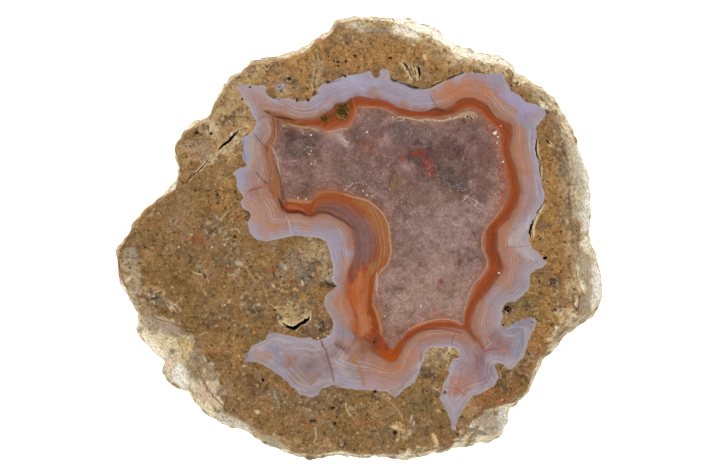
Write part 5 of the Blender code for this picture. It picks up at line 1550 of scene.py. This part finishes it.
quartz = shade(tree, quartz, fine, 0.66, 1.38, (0.87, 1.0, 1.15))
quartz = shade(tree, quartz, finest, 0.42, 1.62, (0.87, 1.0, 1.15))
threads = calc(tree, "ABSOLUTE", calc(tree, "SUBTRACT", grain(tree, spot, 1.7, 4.0, 0.6, 0.8), 0.5))
threads = step(tree, threads, 0.012, 0.002)
threads = times(tree, threads, step(tree, grain(tree, spot, 2.2, 3.0), 0.52, 0.62))
quartz = mix(tree, times(tree, threads, 0.2), quartz, (190, 170, 164))
on_quartz = parts_of(tree, layer_of(tree, "scattered").outputs["Vector"])
clustered = ragged(tree, on_quartz[1], grain(tree, spot, 1.4, 3.0), 0.3, 0.9)
dusty = scaled(tree, grain(tree, spot, 1.1, 3.0, 0.65), 1.1, -0.66)
often = scaled(tree, clustered, 0.30, dusty)
for gap, reach, cover in ((0.44, 0.27, 0.8), (0.28, 0.40, 0.5)):
    flaws = cells(tree, moved(tree, spot, 0.9, 0.3), gap)
    flaw_kind = tints_of(tree, flaws)
    quartz = flecked(tree, quartz, flaws, flaw_kind[0], often, reach, cover, (214, 198, 190))
    quartz = flecked(tree, quartz, flaws, flaw_kind[1], -0.02, reach * 1.2, 0.5, (66, 46, 42))
crumbs = ramp(tree, grain(tree, spot, 0.4, 3.0, 0.7), (0.38, (72, 56, 44)), (0.5, (132, 106, 82)),
              (0.62, (216, 202, 176)))
crumbled = times(tree, ragged(tree, on_quartz[0], grain(tree, spot, 0.9, 3.0)), 0.8)
quartz = mix(tree, crumbled, quartz, crumbs)
moss = ramp(tree, grain(tree, spot, 0.6, 3.0, 0.7), (0.38, (44, 34, 18)), (0.5, (98, 76, 40)),
            (0.62, (168, 116, 56)))
red = mix(tree, crumbled, red, moss)

surface = mix(tree, red_share, bands, red)
surface = mix(tree, quartz_share, surface, quartz)
surface = mix(tree, agate_share, jasper, surface)

# Hairlines, and dirt and painted shade in whatever lies below the face.
hair = parts_of(tree, layer_of(tree, "hairlines").outputs["Vector"])
hairline_looks = (((86, 60, 42), 0.55, 0.17), ((210, 184, 144), 0.45, 0.2), ((126, 78, 48), 0.5, 0.2))
for off, (colour, strength, reach) in zip(hair, hairline_looks):
    near = times(tree, step(tree, off, reach, 0.02), strength)
    surface = mix(tree, times(tree, near, step(tree, fine, 0.3, 0.5)), surface, colour)
scratch = step(tree, value_of(tree, "off_scratch"), 0.16, 0.02)
scratch = times(tree, scratch, step(tree, finest, 0.3, 0.55))
surface = mix(tree, times(tree, scratch, 0.6), surface, (216, 202, 196))
marked = layer_of(tree, "drawn")
mark_colour = shade(tree, full_colour(tree, marked), fine, 0.8, 1.2)
mark_share = times(tree, marked.outputs["Alpha"], scaled(tree, finest, 0.8, 0.55), clamp=True)
surface = mix(tree, mark_share, surface, mark_colour)
depth = calc(tree, "SUBTRACT", HEIGHT / MILLIMETRE, parts_of(tree, spot)[2])
# Painted shade with some dirt: what lies below the face, in cracks and pits, is coloured darker brown the
# deeper it lies, near black where deepest.
surface = mix(tree, step(tree, depth, 0.02, 0.4), surface, (104, 76, 50))
surface = mix(tree, step(tree, depth, 0.2, 1.2), surface, (52, 38, 26))

tree.links.new(surface, shader.inputs["Base Color"])
rough = scaled(tree, agate_share, -0.14, 0.36)
tree.links.new(rough, shader.inputs["Roughness"])
shader.inputs["Specular IOR Level"].default_value = 0.5
shader.inputs["IOR"].default_value = 1.54
shader.inputs["Coat Weight"].default_value = 0.35
shader.inputs["Coat Roughness"].default_value = 0.06
height = times(tree, fine, calc(tree, "SUBTRACT", 1.0, agate_share))
bump = node(tree, "ShaderNodeBump", {"Height": height, "Strength": 0.15, "Distance": 0.0001})
tree.links.new(bump.outputs[0], shader.inputs["Normal"])
sheet.materials.append(polish)


# The rind's finish: chalky weathered crust over the jasper, which shows through where it is worn.

# Places closer than this, in metres, become one, and edges that bend less are shaded smooth.
JOIN_WITHIN = 0.000002
SMOOTH_UP_TO = math.radians(38)

weathered, tree, shader, spot = new_finish("weathered_rind")
fine = grain(tree, spot, 0.6, 4.0, 0.6)
patches = grain(tree, spot, 3.2, 5.0, 0.6, 0.4)
colour = crusted_jasper(tree, spot, fine, grain(tree, spot, 0.24, 2.0, 0.6))
tree.links.new(colour, shader.inputs["Base Color"])
shader.inputs["Roughness"].default_value = 0.85
height = scaled(tree, patches, 0.5, fine)
bump = node(tree, "ShaderNodeBump", {"Height": height, "Strength": 0.5, "Distance": 0.0004})
tree.links.new(bump.outputs[0], shader.inputs["Normal"])
rind.data.materials.append(weathered)

bpy.ops.object.select_all(action="DESELECT")
face.select_set(True)
rind.select_set(True)
bpy.context.view_layer.objects.active = rind
bpy.ops.object.join()
bpy.ops.object.mode_set(mode="EDIT")
bpy.ops.mesh.select_all(action="SELECT")
bpy.ops.mesh.remove_doubles(threshold=JOIN_WITHIN)
bpy.ops.mesh.normals_make_consistent(inside=False)
bpy.ops.object.mode_set(mode="OBJECT")
bpy.ops.object.shade_smooth_by_angle(angle=SMOOTH_UP_TO)
stone = bpy.context.object
finishes_beside = {}
for polygon in stone.data.polygons:
    for key in polygon.edge_keys:
        finishes_beside.setdefault(key, set()).add(polygon.material_index)
for edge in stone.data.edges:
    if len(finishes_beside[edge.key]) > 1:
        edge.use_edge_sharp = True
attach(stone, "root")
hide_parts("agate_nodule")


# The stone lies on a white table that glows a little from below, as a lit copy table does, under
# four large soft lamps that stand well to the sides, so that the polish doesn't mirror them.

TABLE_WIDTH = 4.0
TABLE_GREY = 0.4
TABLE_GLOW = 1.6
LAMP_HEIGHT = 0.75
LAMP_REACH = 0.75
LAMP_SIZE = 0.6
LAMPS_AIM_AT = Vector((0, 0, 0.03))
ROOM_LIGHT = 0.08
WHITE = (1.0, 1.0, 1.0, 1.0)
SENSOR_WIDTH = 36.0

bpy.ops.mesh.primitive_plane_add(size=TABLE_WIDTH, location=(0, 0, 0))
table = bpy.context.object
table.name = "white_table"
table_white = bpy.data.materials.new("white_table")
table_white.use_nodes = True
shader = table_white.node_tree.nodes["Principled BSDF"]
shader.inputs["Base Color"].default_value = (TABLE_GREY, TABLE_GREY, TABLE_GREY, 1.0)
shader.inputs["Roughness"].default_value = 0.9
shader.inputs["Emission Color"].default_value = WHITE
shader.inputs["Emission Strength"].default_value = TABLE_GLOW
table.data.materials.append(table_white)

for name, turn, power in (("left", 150, 4.5), ("right", 30, 4.0), ("back", 90, 4.0), ("front", 270, 4.0)):
    lamp = bpy.data.lights.new(name + "_softbox", "AREA")
    lamp.shape = "SQUARE"
    lamp.size = LAMP_SIZE
    lamp.energy = power
    softbox = bpy.data.objects.new(name + "_softbox", lamp)
    angle = math.radians(turn)
    softbox.location = (LAMP_REACH * math.cos(angle), LAMP_REACH * math.sin(angle), LAMP_HEIGHT)
    softbox.rotation_euler = (LAMPS_AIM_AT - softbox.location).to_track_quat("-Z", "Y").to_euler()
    bpy.context.scene.collection.objects.link(softbox)

world = bpy.data.worlds.new("studio")
world.use_nodes = True
world.node_tree.nodes["Background"].inputs["Color"].default_value = WHITE
world.node_tree.nodes["Background"].inputs["Strength"].default_value = ROOM_LIGHT
bpy.context.scene.world = world
bpy.context.scene.view_settings.view_transform = "Standard"

# The camera looks straight down on the middle of the photograph's frame.
FRAME_PX = (708, 472)
camera = bpy.data.cameras.new("camera")
camera.sensor_width = SENSOR_WIDTH
camera.lens = SENSOR_WIDTH * VIEW_DISTANCE / (FRAME_PX[0] * PIXEL)
viewer = bpy.data.objects.new("camera", camera)
middle = to_metres((FRAME_PX[0] / 2, FRAME_PX[1] / 2)) + over_origin
viewer.location = (middle[0], middle[1], HEIGHT + VIEW_DISTANCE)
bpy.context.scene.collection.objects.link(viewer)
bpy.context.scene.camera = viewer
